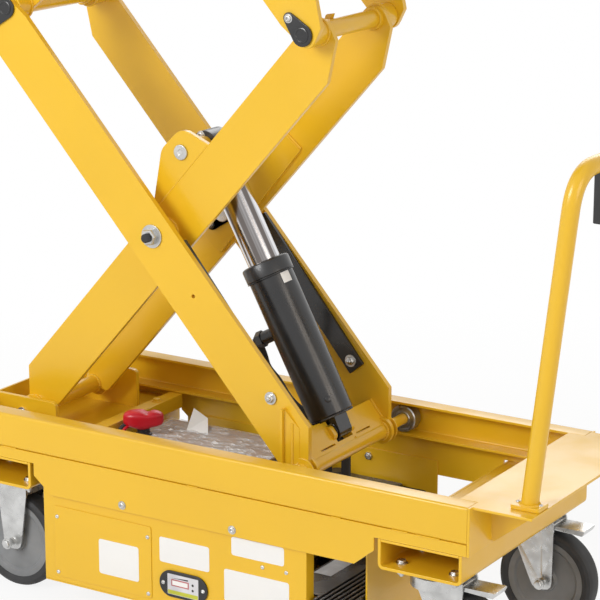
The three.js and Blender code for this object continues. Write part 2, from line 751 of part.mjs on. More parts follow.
const barHinge = { x: 388, z: 31, radius: 6 };
const rib = { back: -46, front: -10, bottom: 8, top: 112, frontTop: 96, fromLip: 43 };

// Upright half-round stiffener on the outer face of the arm, above the roller axle.
function stiffener(side) {
  const s = Math.sin(fold);
  const c = Math.cos(fold);
  const at = (dx, dz, radius) => [halfArm + dx * c - dz * s, dx * s + dz * c, radius];
  const shape = rounded([
    at(rib.back, rib.bottom, 2), at(rib.back, rib.top, 3),
    at(rib.front, rib.frontTop, 16), at(rib.front, rib.bottom, 8),
  ], 2);
  return plateXZ(shape, side * (outerArmFace - 1), side * (lipInner - rib.fromLip));
}

// Upper outer arms: joint to the lower scissor at the front, platform hinge at the rear.
function upperOuterArms() {
  const low = -halfArm;
  const tube = barY(low, 0, tubeRadius, -outerArmFace, outerArmFace);
  const flanges = pairY(low, 0, bossRadius + 2, outerArmBack - 9, outerArmFace + 2);
  const body = join(...bars(-1, outerArmFace).map((bar) => bar.mirror([0, 0, 1])), tube, ...flanges);
  return cut(body, ...pairY(0, 0, boreRadius, outerArmBack - 5, outerArmFace + 5),
    ...pairY(halfArm, 0, boreRadius, outerArmBack - 5, outerArmFace + 5),
    ...pairY(low, 0, boreRadius, outerArmFace - boreDepth, outerArmFace + 5));
}

// Centre pivot bolt: head behind the inner arm, washer and nut on the outer arm.
function centrePin(side, headFace) {
  const at = (radius, from, to, segments) => barY(0, 0, radius, side * from, side * to, segments);
  const face = outerArmFace + fit;
  return join(at(pinRadius, headFace - 3, face + 1), at(20, headFace - 8 - fit, headFace - fit),
    at(23, face, face + 3), at(17, face + 2.5, face + 17, 6), at(9, face + 16, face + 26));
}

const lockPlate = { reach: 40, large: 21, small: 11, wall: 6 };

// Joint pin with its teardrop lock plate against the outer arm.
function lockPin(side, lean) {
  const face = outerArmFace + fit;
  const inner = jointBossEnd - boreDepth + 2;
  const pin = barY(0, 0, pinRadius, side * inner, side * (face + 1));
  const { reach, large, small, wall } = lockPlate;
  const tip = [reach * Math.cos(lean), reach * Math.sin(lean)];
  const tear = new THREE.Shape();
  const spread = Math.asin((large - small) / reach);
  tear.absarc(0, 0, large, lean + Math.PI / 2 - spread, lean + 1.5 * Math.PI + spread);
  tear.absarc(tip[0], tip[1], small, lean - Math.PI / 2 + spread, lean + Math.PI / 2 - spread);
  return join(pin, plateXZ(tear, side * face, side * (face + wall)));
}

function roller() {
  const half = rollerWidth / 2;
  const bore = axleStub + play;
  const profile = [
    [bore, -half], [rollerRadius - 2, -half], [rollerRadius, -half + 2], [rollerRadius, half - 2],
    [rollerRadius - 2, half], [bore, half], [bore, -half],
  ];
  return solid(new THREE.LatheGeometry(profile.map(([r, y]) => new THREE.Vector2(r, y)), 20));
}

const stopBar = { length: 345, width: 38, wall: 8, tail: 20 };

// Flat maintenance stop bar, bolted inside an outer arm, drawn round its hinge bolt.
function maintenanceBar(side) {
  const { length, width, wall, tail } = stopBar;
  const outer = outerArmBack - fit;
  const flat = rounded(box2(-length, tail, -width / 2, width / 2), 2);
  const body = plateXZ(flat, side * (outer - wall), side * outer);
  const bolt = barY(0, 0, barHinge.radius, side * (outer - wall - 8), side * (outerArmFace + 12), 12);
  return join(body, bolt);
}

function placedPin(parent, name, x, z, body, material) {
  piece(placed(parent, x, 0, z), name, body, material);
}

function buildArms() {
  const lowerInner = placed(table, centreX, 0, lowerCentre, -fold);
  piece(lowerInner, 'lower_inner_arms', lowerInnerArms(), yellow);
  const lowerOuter = placed(table, centreX, 0, lowerCentre, fold);
  piece(lowerOuter, 'lower_outer_arms', lowerOuterArms(), yellow);
  const upperInner = placed(table, centreX, 0, upperCentre, -fold);
  piece(upperInner, 'upper_inner_arms', upperInnerArms(), yellow);
  const upperOuter = placed(table, centreX, 0, upperCentre, fold);
  piece(upperOuter, 'upper_outer_arms', upperOuterArms(), yellow);
  for (const [label, side] of Object.entries(sides)) {
    piece(lowerOuter, `lower_centre_pin_${label}`, centrePin(side, doublerFace), zinc);
    piece(upperOuter, `upper_centre_pin_${label}`, centrePin(side, innerArmBack), zinc);
    const bar = placed(lowerOuter, barHinge.x, 0, barHinge.z);
    piece(bar, `maintenance_bar_${label}`, maintenanceBar(side), black);
    placedPin(table, `front_lock_pin_${label}`, endX, midHeight, lockPin(side, lockLean), black);
    placedPin(table, `rear_lock_pin_${label}`, hingeX, midHeight, lockPin(side, -lockLean), black);
    const y = side * (rollerFrom + rollerWidth / 2);
    piece(placed(table, endX, y, pinHeight), `lower_roller_${label}`, roller(), steel);
    piece(placed(table, endX, y, topPin), `upper_roller_${label}`, roller(), steel);
  }
}

const lockLean = 134 * deg;

// ---- lift cylinder ------------------------------------------------------------------------
const toWorld = (turn, x, z) => [
  centreX + x * Math.cos(turn) - z * Math.sin(turn),
  lowerCentre + x * Math.sin(turn) + z * Math.cos(turn),
];
const footPoint = toWorld(-fold, foot.x, foot.z);
const eyePoint = toWorld(fold, ear.x, ear.z);
const eyeReach = Math.hypot(eyePoint[0] - footPoint[0], eyePoint[1] - footPoint[1]);
const cylinderTurn = Math.atan2(eyePoint[0] - footPoint[0], eyePoint[1] - footPoint[1]);
const barrel = { bottom: 27, base: 14, top: 356, wall: 7, gland: 30, port: 220 };
const eye = { radius: 29, half: 26, pistonAt: 250, neck: 62, neckWidth: 46 };

// Barrel with foot lug, closed base, gland cap and side port. Its Z is the stroke.
function liftBarrel() {
  const { bottom, base, top, wall, gland, port } = barrel;
  const tube = barZ(0, 0, barrelRadius, bottom, top - 2, 24);
  const cap = barZ(0, 0, barrelRadius + 4, top - gland, top, 24);
  const neck = barX(0, port, 12, -barrelRadius - 34, -barrelRadius + 2);
  const nut = barX(0, port, 15, -barrelRadius - 44, -barrelRadius - 30, 6);
  const lug = rounded([[-17, -17, 14], [17, -17, 14], [22, bottom + 2, 0], [-22, bottom + 2, 0]], 0);
  const half = foot.inner - fit;
  const body = join(tube, cap, neck, nut, plateXZ(lug, -half, half));
  return cut(body, barZ(0, 0, barrelRadius - wall, bottom + base, top - gland, 20),
    barZ(0, 0, rodRadius + play, top - gland - 1, top + 1, 20),
    barY(0, 0, foot.pinRadius + play, -half - 1, half + 1));
}

// Chrome rod with its piston inside the barrel and the eye at its top.
function liftRod() {
  const { radius, half, pistonAt, neck, neckWidth } = eye;
  const rod = barZ(0, 0, rodRadius, pistonAt, eyeReach - neck, 20);
  const tang = block([-neckWidth / 2, neckWidth / 2], [-half, half], [eyeReach - neck - 1, eyeReach]);
  const piston = barZ(0, 0, barrelRadius - barrel.wall - play, pistonAt - 2, pistonAt + 22, 20);
  const end = barY(0, eyeReach, radius, -half, half, 20);
  return cut(join(rod, piston, tang, end), barY(0, eyeReach, earPinRadius + play, -half - 1, half + 1, 16));
}

// Stub pin in an ear. It stops short of the rod eye.
function earPin(side) {
  const at = (radius, from, to) => barY(0, 0, radius, side * from, side * to, 16);
  const head = innerArmFace + fit;
  return join(at(earPinRadius, eye.half + fit, head + 1), at(19, eye.half + fit, doublerFace - fit),
    at(15, head, head + 4));
}

function buildCylinder() {
  const cylinder = placed(table, footPoint[0], 0, footPoint[1], cylinderTurn);
  piece(cylinder, 'lift_barrel', liftBarrel(), black);
  piece(cylinder, 'lift_rod', liftRod(), chrome);
  const pinHalf = foot.inner + foot.lug + 4;
  piece(cylinder, 'barrel_pin', barY(0, 0, foot.pinRadius, -pinHalf, pinHalf), zinc);
  for (const [label, side] of Object.entries(sides)) {
    placedPin(table, `ear_pin_${label}`, eyePoint[0], eyePoint[1], earPin(side), zinc);
  }
}

// ---- platform -----------------------------------------------------------------------------
const platformBracket = { inner: outerArmFace + 4, wall: 10 };

// Deck with folded sides whose lips guide the upper rollers, and two hinge brackets with
// their welded pins.
function platform() {
  const rear = -halfLength - platformPast.rear;
  const front = halfLength + platformPast.front;
  const low = platformTop - railHeight;
  const wall = platformWall;
  const lip = halfWidth - railFlange;
  const section = outline([
    [-halfWidth, low], [-lip, low], [-lip, low + wall], [-webInner, low + wall],
    [-webInner, platformTop - wall], [webInner, platformTop - wall], [webInner, low + wall],
    [lip, low + wall], [lip, low], [halfWidth, low], [halfWidth, platformTop], [-halfWidth, platformTop],
  ]);
  const tray = plateYZ(section, rear, front);
  const ends = [[rear, rear + wall], [front - wall, front]].map((x) =>
    block(x, [-halfWidth + 1, halfWidth - 1], [low, platformTop - 1]));
  const { inner, wall: thick } = platformBracket;
  const ears = [-1, 1].map((side) => plateXZ(rounded([
    [hingeX - 60, platformTop - 2, 0], [hingeX - 34, topPin - 30, 26],
    [hingeX + 34, topPin - 30, 26], [hingeX + 70, platformTop - 2, 0],
  ], 0), side * inner, side * (inner + thick)));
  const pins = pairY(hingeX, topPin, pinRadius, inner + 1, outerArmFace - boreDepth + 3);
  return join(tray, ...ends, ...ears, ...pins);
}

// ---- handle -------------------------------------------------------------------------------
const handle = { x: halfLength + 92, y: 200, radius: 16, bend: 70 };

// One bent tube: two legs that lean outwards and the grip across the top.
function handleTube() {
  const { x, y, radius, bend } = handle;
  const top = new THREE.Vector3(x + handleLean, 0, handleTop);
  const bottom = new THREE.Vector3(x, 0, railTop + fit);
  const along = top.clone().sub(bottom).normalize();
  const shoulder = top.clone().addScaledVector(along, -bend);
  const at = (point, side) => new THREE.Vector3(point.x, side, point.z);
  const path = new THREE.CurvePath();
  path.add(new THREE.LineCurve3(at(bottom, -y), at(shoulder, -y)));
  path.add(new THREE.QuadraticBezierCurve3(at(shoulder, -y), at(top, -y), at(top, -y + bend)));
  path.add(new THREE.LineCurve3(at(top, -y + bend), at(top, y - bend)));
  path.add(new THREE.QuadraticBezierCurve3(at(top, y - bend), at(top, y), at(shoulder, y)));
  path.add(new THREE.LineCurve3(at(shoulder, y), at(bottom, y)));
  const ring = new THREE.Shape();
  ring.absarc(0, 0, radius, 0, 2 * Math.PI);
  const tube = solid(new THREE.ExtrudeGeometry(ring, { extrudePath: path, steps: 36, curveSegments: 4 }));
  const floor = block([x - 60, x + 60], [-y - 40, y + 40], [0, railTop + fit]);
  const feet = [-y, y].map((side) => block([x - 28, x + 28], [side - 21, side + 21],
    [railTop + fit, railTop + 8]));
  return cut(join(tube, ...feet), floor);
}

const control = { width: 150, depth: 52, height: 96 };
const controls = {
  up_button: { y: -45, radius: 13, proud: 6, travel: 4, material: green },
  down_button: { y: 0, radius: 13, proud: 6, travel: 4, material: black },
  emergency_stop: { y: 45, radius: 18, proud: 22, travel: 5, material: red },
};
const boxFace = handle.x + handleLean + control.depth / 2;
const controlTop = handleTop - handle.radius - 4;
const buttonZ = controlTop - control.height / 2;

// Control box that hangs under the grip, clamped round it.
function controlBox() {
  const x = handle.x + handleLean;
  const shape = rounded(box2(x - control.depth / 2, boxFace, -control.width / 2, control.width / 2), 8);
  const body = plateXY(shape, controlTop - control.height, controlTop);
  const clamp = block([x - 24, x + 24], [-30, 30], [controlTop - 1, handleTop + handle.radius + 5]);
  const bore = barY(x, handleTop, handle.radius + fit, -40, 40, 16);
  const wells = Object.values(controls).map(({ y, radius }) =>
    barX(y, buttonZ, wellRadius(radius) + play, boxFace - wellDepth, boxFace + 1));
  return cut(join(body, clamp), bore, ...wells);
}

const wellDepth = 16;
const wellRadius = (radius) => Math.min(radius, 13);

// A button whose stem runs in its well. A wide head stays outside the box.
function button({ y, radius, proud, travel }) {
  const stem = barX(y, buttonZ, wellRadius(radius), boxFace - wellDepth + travel + 1, boxFace + proud);
  if (radius <= 13) return stem;
  return join(stem, barX(y, buttonZ, radius, boxFace + travel + 2, boxFace + proud, 18));
}

function buildHandle() {
  piece(table, 'handle', handleTube(), yellow);
  piece(table, 'control_box', controlBox(), black);
  for (const [name, data] of Object.entries(controls)) {
    piece(table, name, button(data), data.material);
  }
}

buildBase();
buildCastors();
buildArms();
buildCylinder();
piece(table, 'platform', platform(), yellow);
buildHandle();

// The origin is on the floor under the middle of the table's outline.
const extent = new THREE.Box3().setFromObject(table, true);
table.position.set(-(extent.min.x + extent.max.x) / 2, -(extent.min.y + extent.max.y) / 2, -extent.min.z);

export default table;
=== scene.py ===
"""Double scissor lift table on castors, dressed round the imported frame.

Sizes are in millimetres until a shape is placed. Places come from the frame's boxes and joints.
"""
import json
import math
import random

import bmesh
import bpy
from mathutils import Matrix, Vector


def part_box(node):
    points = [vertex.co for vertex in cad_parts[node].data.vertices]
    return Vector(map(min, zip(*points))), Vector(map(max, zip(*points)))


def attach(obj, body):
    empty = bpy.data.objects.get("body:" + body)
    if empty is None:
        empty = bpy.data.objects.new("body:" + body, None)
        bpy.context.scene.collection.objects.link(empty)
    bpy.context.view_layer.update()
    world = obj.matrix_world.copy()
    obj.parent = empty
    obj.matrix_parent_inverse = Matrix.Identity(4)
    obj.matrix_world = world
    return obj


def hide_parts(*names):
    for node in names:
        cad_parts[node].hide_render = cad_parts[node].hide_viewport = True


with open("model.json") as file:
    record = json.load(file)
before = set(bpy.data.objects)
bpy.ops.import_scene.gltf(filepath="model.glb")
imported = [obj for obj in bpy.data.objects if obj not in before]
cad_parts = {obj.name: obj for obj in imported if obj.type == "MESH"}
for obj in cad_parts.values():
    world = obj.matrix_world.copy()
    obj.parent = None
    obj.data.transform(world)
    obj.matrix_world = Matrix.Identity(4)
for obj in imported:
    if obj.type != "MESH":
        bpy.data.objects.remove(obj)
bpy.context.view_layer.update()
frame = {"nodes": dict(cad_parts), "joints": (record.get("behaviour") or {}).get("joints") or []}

# ---- sizes ---------------------------------------------------------------------------------
MM = 0.001
FIT = 0.3                        # gap between pieces that touch
ARM_WIDTH = 104
ARM_WALL = 12
INNER_FACE = 106                 # outer face of an inner arm, from the middle plane
OUTER_FACE = 157                 # outer face of an outer arm
LOW_PIN_DROP = 17
MID_PIN_RISE = 26
ARM_END_REACH = 13
TUBE = 17
BOSS = 25
PIN = 12
ROLLER = 28.5
ROLLER_WIDTH = 26
RAIL_WALL = 5
RAIL_FLANGE = 38
WHEEL = 100
WHEEL_WIDTH = 46
AXLE = 8
BARREL = 45
ROD = 33
WELD = 3.2

SIDES = {"near": -1, "far": 1}
JOINTS = {joint["name"]: joint for joint in frame["joints"]}
BOXES = {name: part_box(name) for name in frame["nodes"]}


def pivot(joint):
    x, _, z = JOINTS[joint]["pos_m"]
    return Vector((x, 0, z))


HINGE = pivot("lift")
LOW_CROSS = pivot("lower_cross")
FRONT_MID = pivot("front_mid_joint")
HIGH_CROSS = pivot("upper_cross")
TOP_HINGE = pivot("platform_hinge")
REAR_MID = Vector((HINGE.x, 0, FRONT_MID.z))
HALF_ARM = (LOW_CROSS - HINGE).length / MM
FOLD = math.atan2(LOW_CROSS.z - HINGE.z, LOW_CROSS.x - HINGE.x)
STILL = Matrix.Identity(4)


def span(node, axis):
    """Lowest and highest place of a frame node along an axis, in millimetres of the base."""
    low, high = BOXES[node]
    shift = FRAME_MIDDLE if axis == 0 else 0
    return (low[axis] - shift) / MM, (high[axis] - shift) / MM


FRAME_MIDDLE = (BOXES["rail_near"][0].x + BOXES["rail_near"][1].x) / 2
BASE = Matrix.Translation((FRAME_MIDDLE, 0, 0))


def turned_to(centre, turn):
    return Matrix.Translation(centre) @ Matrix.Rotation(turn, 4, "Y")


LOWER_INNER = turned_to(LOW_CROSS, -FOLD)
LOWER_OUTER = turned_to(LOW_CROSS, FOLD)
UPPER_INNER = turned_to(HIGH_CROSS, -FOLD)
UPPER_OUTER = turned_to(HIGH_CROSS, FOLD)


# ---- finishes ------------------------------------------------------------------------------
ROD_LEAN = math.atan2(-JOINTS["rod_slide"]["axis"][0], JOINTS["rod_slide"]["axis"][2])


class Finish:
    """A material with the helpers that wire its pattern."""

    def __init__(self, name, slot, colour, roughness, **sockets):
        self.slot = slot
        self.material = bpy.data.materials.new(name)
        self.material.use_nodes = True
        self.tree = self.material.node_tree
        self.shader = self.tree.nodes["Principled BSDF"]
        self.colour = colour
        self.shader.inputs["Base Color"].default_value = (*colour, 1)
        self.shader.inputs["Roughness"].default_value = roughness
        for socket, value in sockets.items():
            self.shader.inputs[socket.replace("_", " ")].default_value = value
        self.places = self.node("ShaderNodeTexCoord").outputs["Object"]

    def node(self, kind, **inputs):
        node = self.tree.nodes.new(kind)
        for name, value in inputs.items():
            socket = node.inputs[name.replace("_", " ")]
            if isinstance(value, bpy.types.NodeSocket):
                self.tree.links.new(value, socket)
            else:
                socket.default_value = value
        return node

    def link(self, output, socket):
        self.tree.links.new(output, self.shader.inputs[socket])

    def stretched(self, scale):
        mapping = self.node("ShaderNodeMapping", Vector=self.places)
        mapping.inputs["Scale"].default_value = scale
        return mapping.outputs["Vector"]

    def noise(self, scale, detail=2.0, vector=None):
        node = self.node("ShaderNodeTexNoise", Vector=vector or self.places, Scale=scale, Detail=detail)
        return node.outputs["Fac"]

    def ranged(self, value, low, high, out_low, out_high):
        node = self.node("ShaderNodeMapRange", Value=value, From_Min=low, From_Max=high,
                         To_Min=out_low, To_Max=out_high)
        return node.outputs["Result"]

    def mixed(self, factor, first, second):
        node = self.tree.nodes.new("ShaderNodeMix")
        node.data_type = "RGBA"
        self.tree.links.new(factor, node.inputs["Factor"])
        for socket, value in ((node.inputs[6], first), (node.inputs[7], second)):
            if isinstance(value, bpy.types.NodeSocket):
                self.tree.links.new(value, socket)
            else:
                socket.default_value = (*value, 1)
        return node.outputs[2]

    def bumped(self, height, strength, distance):
        node = self.node("ShaderNodeBump", Height=height, Strength=strength, Distance=distance)
        self.link(node.outputs["Normal"], "Normal")

    def shifted(self, factor):
        return tuple(min(1.0, channel * factor) for channel in self.colour)

    def mottled(self, scale, low, high):
        """Slow change of colour between a darker and a lighter shade."""
        value = self.ranged(self.noise(scale, 3.0), 0.3, 0.7, 0.0, 1.0)
        return self.mixed(value, self.shifted(low), self.shifted(high))


def powder_coat(name, slot, colour, roughness=0.33):
    """Sprayed and baked paint: orange peel, slight mottling and rubbed, duller patches."""
    coat = Finish(name, slot, colour, roughness, Specular_IOR_Level=0.5, Coat_Weight=0.25,
                  Coat_Roughness=0.12)
    body = coat.mottled(2.6, 0.965, 1.03)
    specks = coat.ranged(coat.noise(620.0, 1.0), 0.70, 0.78, 0.0, 0.35)
    coat.link(coat.mixed(specks, body, coat.shifted(0.86)), "Base Color")
    rubbed = coat.ranged(coat.noise(11.0, 4.0), 0.42, 0.72, roughness - 0.05, roughness + 0.14)
    coat.link(rubbed, "Roughness")
    coat.bumped(coat.noise(330.0, 2.0), 0.22, 0.0006)
    return coat


def plated(name, slot, colour, roughness, grain=900.0):
    """Zinc or bare steel: metal with a fine grain and faint cloudy patches."""
    metal = Finish(name, slot, colour, roughness, Metallic=1.0)
    metal.link(metal.mottled(38.0, 0.82, 1.1), "Base Color")
    cloud = metal.noise(85.0, 3.0)
    metal.link(metal.ranged(cloud, 0.3, 0.7, roughness - 0.08, roughness + 0.12), "Roughness")
    metal.bumped(metal.noise(grain, 2.0), 0.12, 0.0002)
    return metal


def hard_chrome():
    """Ground and chromed rod: rings from the grinding, and painted reflections: dark brownish bands drawn
    along it stand for the surroundings mirrored in the chrome.
    """
    chrome = Finish("hard_chrome", "chrome", (0.80, 0.80, 0.82), 0.13, Metallic=1.0)
    upright = chrome.node("ShaderNodeMapping", Vector=chrome.places)
    upright.inputs["Rotation"].default_value = (0, ROD_LEAN, 0)
    along = chrome.node("ShaderNodeMapping", Vector=upright.outputs["Vector"])
    along.inputs["Scale"].default_value = (1, 1, 0.015)
    # painted reflection: dark brownish bands along the rod's colour stand for the surroundings mirrored in it
    streak = chrome.noise(95.0, 1.0, along.outputs["Vector"])
    painted_reflection = chrome.ranged(streak, 0.40, 0.60, 0.0, 1.0)
    chrome.link(chrome.mixed(painted_reflection, (0.17, 0.15, 0.14), (0.78, 0.78, 0.80)), "Base Color")
    chrome.link(chrome.ranged(chrome.noise(260.0, 2.0), 0.3, 0.7, 0.14, 0.2), "Roughness")
    return chrome


def moulded(name, slot, colour, roughness, grain=700.0, depth=0.0002, **sockets):
    """Moulded plastic or rubber with a fine grain and handling marks."""
    plastic = Finish(name, slot, colour, roughness, **sockets)
    plastic.link(plastic.mottled(17.0, 0.86, 1.2), "Base Color")
    worn = plastic.noise(31.0, 4.0)
    plastic.link(plastic.ranged(worn, 0.3, 0.75, roughness - 0.08, roughness + 0.1), "Roughness")
    plastic.bumped(plastic.noise(grain, 2.0), 0.3, depth)
    return plastic


def label_film():
    """Plain satin label, a little handled."""
    label = Finish("blank_label", "black_plastic", (0.80, 0.80, 0.79), 0.42)
    label.link(label.mottled(5.0, 0.975, 1.01), "Base Color")
    label.link(label.ranged(label.noise(24.0, 3.0), 0.3, 0.75, 0.38, 0.48), "Roughness")
    label.bumped(label.noise(300.0, 2.0), 0.2, 0.00005)
    return label


def clear_film():
    """Wrinkled transparent film that covers the battery."""
    film = Finish("clear_film", "grey_plastic", (0.80, 0.80, 0.79), 0.13, Alpha=0.3,
                  Specular_IOR_Level=0.8)
    film.link(film.ranged(film.noise(26.0, 3.0), 0.35, 0.7, 0.16, 0.46), "Alpha")
    film.bumped(film.noise(34.0, 4.0), 0.6, 0.004)
    return film


def card_sleeve():
    """Brown pressed board with the streaks of its fibres."""
    card = Finish("pressed_board", "grey_plastic", (0.36, 0.215, 0.115), 0.55)
    streak = card.noise(34.0, 5.0, card.stretched((0.6, 6.0, 6.0)))
    card.link(card.mixed(card.ranged(streak, 0.3, 0.7, 0.0, 1.0), card.shifted(0.72),
                         card.shifted(1.3)), "Base Color")
    card.bumped(streak, 0.2, 0.0006)
    return card


YELLOW = powder_coat("yellow_powder_coat", "yellow_paint", (0.77, 0.462, 0.014))
BLACK = powder_coat("black_gloss_paint", "black_paint", (0.012, 0.012, 0.013), 0.3)
ZINC = plated("bright_zinc", "zinc", (0.60, 0.60, 0.59), 0.3)
STEEL = plated("turned_steel", "steel", (0.40, 0.41, 0.42), 0.34)
CAST = plated("cast_aluminium", "zinc", (0.56, 0.57, 0.58), 0.42, 420.0)
CHROME = hard_chrome()
TYRE = moulded("tyre_rubber", "tyre", (0.024, 0.024, 0.025), 0.68, 420.0, 0.0004)
HUB = moulded("grey_nylon", "grey_plastic", (0.19, 0.195, 0.20), 0.45)
HOSE = moulded("hose_rubber", "hose_rubber", (0.018, 0.018, 0.019), 0.6, 520.0, 0.0005)
PLASTIC = moulded("black_plastic", "black_plastic", (0.017, 0.017, 0.019), 0.42)
RED = moulded("red_vinyl", "red_plastic", (0.56, 0.006, 0.022), 0.36, 120.0, 0.0009)
GREEN = moulded("green_plastic", "green_plastic", (0.02, 0.30, 0.055), 0.35)
GREY = moulded("grey_case", "grey_plastic", (0.235, 0.24, 0.265), 0.38, 90.0, 0.0006)
WHITE = label_film()
LCD = moulded("display_glass", "black_plastic", (0.60, 0.60, 0.64), 0.2, 40.0, 0.00002)
LCD_RED = moulded("display_frame", "red_plastic", (0.42, 0.11, 0.12), 0.35)
LIME = moulded("lime_strip", "green_plastic", (0.48, 0.50, 0.04), 0.4)
FILM = clear_film()
BOARD = card_sleeve()


# ---- shapes --------------------------------------------------------------------------------
def put(bm, vertices, faces, place):
    made = [bm.verts.new(place @ (Vector(vertex) * MM)) for vertex in vertices]
    for face in faces:
        bm.faces.new([made[i] for i in face])


ORDERS = {
    "X": lambda u, v, w: (w, u, v),
    "Y": lambda u, v, w: (u, w, v),
    "Z": lambda u, v, w: (u, v, w),
}


def slab(bm, outline, low, high, place=BASE, along="Y"):
    """A flat outline given a thickness along one axis."""
    order = ORDERS[along]
    n = len(outline)
    vertices = [order(u, v, w) for w in (low, high) for u, v in outline]
    rim = [(i, (i + 1) % n, n + (i + 1) % n, n + i) for i in range(n)]
    put(bm, vertices, [tuple(range(n)), tuple(range(n, 2 * n)), *rim], place)


def block(bm, x, y, z, place=BASE):
    slab(bm, [(x[0], z[0]), (x[1], z[0]), (x[1], z[1]), (x[0], z[1])], y[0], y[1], place)


def turned(bm, profile, place, sides=48, ring=False):
    """A profile of (radius, height) turned round the place's Z axis."""
    rows = []
    vertices = []
    for radius, height in profile:
        count = sides if radius > 0 else 1
        rows.append(range(len(vertices), len(vertices) + count))
        for i in range(count):
            angle = 2 * math.pi * i / sides
            vertices.append((radius * math.cos(angle), radius * math.sin(angle), height))
    faces = []
    pairs = list(zip(rows, rows[1:]))
    if ring:
        pairs.append((rows[-1], rows[0]))
    for low, high in pairs:
        for i in range(sides):
            corners = [low[i % len(low)], low[(i + 1) % len(low)],
                       high[(i + 1) % len(high)], high[i % len(high)]]
            faces.append(tuple(dict.fromkeys(corners)))
    put(bm, vertices, faces, place)


def bar(bm, radius, low, high, place, sides=48):
    turned(bm, [(0, low), (radius, low), (radius, high), (0, high)], place, sides)


def along_y(place, x=0, z=0):
    """A place whose Z axis runs along the given place's Y axis, through (x, z)."""
    return place @ Matrix.Translation((x * MM, 0, z * MM)) @ Matrix.Rotation(-math.pi / 2, 4, "X")


def along_x(place, y=0, z=0):
    return place @ Matrix.Translation((0, y * MM, z * MM)) @ Matrix.Rotation(math.pi / 2, 4, "Y")


def along_z(place, x=0, y=0):
    return place @ Matrix.Translation((x * MM, y * MM, 0))


def mirrored_bar(bm, radius, low, high, place, sides=48):
    """The same bar on both sides of the middle plane."""
    for side in SIDES.values():
        bar(bm, radius, *sorted((side * low, side * high)), place, sides)


def swept(bm, path, radius, sides=20, place=BASE):
    """A round section carried along a path of points."""
    points = [Vector(point) for point in path]
    heading = (points[1] - points[0]).normalized()
    across = heading.orthogonal().normalized()
    vertices = [tuple(points[0])]
    for i, point in enumerate(points):
        before = points[max(0, i - 1)]
        after = points[min(len(points) - 1, i + 1)]
        heading = (after - before).normalized()
        across = (across - heading * across.dot(heading)).normalized()
        up = heading.cross(across)
        for k in range(sides):
            angle = 2 * math.pi * k / sides
            vertices.append(tuple(point + radius * (math.cos(angle) * across + math.sin(angle) * up)))
    vertices.append(tuple(points[-1]))
    faces = []
    for i in range(len(points) - 1):
        for k in range(sides):
            a = 1 + i * sides + k
            b = 1 + i * sides + (k + 1) % sides
            faces.append((a, b, b + sides, a + sides))
    last = 1 + (len(points) - 1) * sides
    for k in range(sides):
        faces.append((0, 1 + (k + 1) % sides, 1 + k))
        faces.append((len(vertices) - 1, last + k, last + (k + 1) % sides))
    put(bm, vertices, faces, place)


def rounded(points, steps=6):
    """Corners (u, v, radius) turned into an outline with curved corners."""
    outline = []
    count = len(points)
    for i, (u, v, radius) in enumerate(points):
        corner = Vector((u, v))
        back = Vector(points[i - 1][:2]) - corner
        ahead = Vector(points[(i + 1) % count][:2]) - corner
        half = back.angle(ahead) / 2
        reach = min(radius / math.tan(half), back.length / 2, ahead.length / 2)
        if reach < 0.01:
            outline.append(tuple(corner))
            continue
        start = corner + back.normalized() * reach
        end = corner + ahead.normalized() * reach
        for k in range(steps + 1):
            t = k / steps
            point = start * (1 - t) ** 2 + corner * 2 * t * (1 - t) + end * t ** 2
            outline.append(tuple(point))
    return outline


def rectangle(u, v, radius=0):
    return rounded([(u[0], v[0], radius), (u[1], v[0], radius), (u[1], v[1], radius), (u[0], v[1], radius)])


def bent_path(corners, bend, steps=10):
    """Points of a path with rounded bends, in the order of its corners."""
    points = [Vector(corners[0])]
    for before, corner, after in zip(corners, corners[1:], corners[2:]):
        before, corner, after = Vector(before), Vector(corner), Vector(after)
        start = corner + (before - corner).normalized() * bend
        end = corner + (after - corner).normalized() * bend
        for k in range(steps + 1):
            t = k / steps
            points.append(start * (1 - t) ** 2 + corner * 2 * t * (1 - t) + end * t ** 2)
    points.append(Vector(corners[-1]))
    return points


# ---- pieces --------------------------------------------------------------------------------
SHARP = math.radians(32)


def shown(name, mesh, finish, body, stands_for=()):
    """Links a finished mesh as a piece that rides on a body."""
    obj = bpy.data.objects.new(name, mesh)
    bpy.context.scene.collection.objects.link(obj)
    if not mesh.materials:
        mesh.materials.append(finish.material)
    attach(obj, body)
    if stands_for:
        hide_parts(*stands_for)
    return obj


def piece(name, finish, body, build, edge=0.8, stands_for=()):
    """Builds a mesh with a function, closes it, and rounds its edges."""
    bm = bmesh.new()
    build(bm)
    bmesh.ops.recalc_face_normals(bm, faces=bm.faces)
    mesh = bpy.data.meshes.new(name)
    bm.to_mesh(mesh)
    bm.free()
    mesh.shade_smooth()
    mesh.set_sharp_from_angle(angle=SHARP)
    obj = shown(name, mesh, finish, body, stands_for)
    if edge:
        soften(obj, edge)
    return obj


def soften(obj, edge):
    rim = obj.modifiers.new("rounded_edges", "BEVEL")
    rim.width = edge * MM
    rim.segments = 2
    rim.limit_method = "ANGLE"
    rim.angle_limit = SHARP
    rim.harden_normals = True
    rim.use_clamp_overlap = True


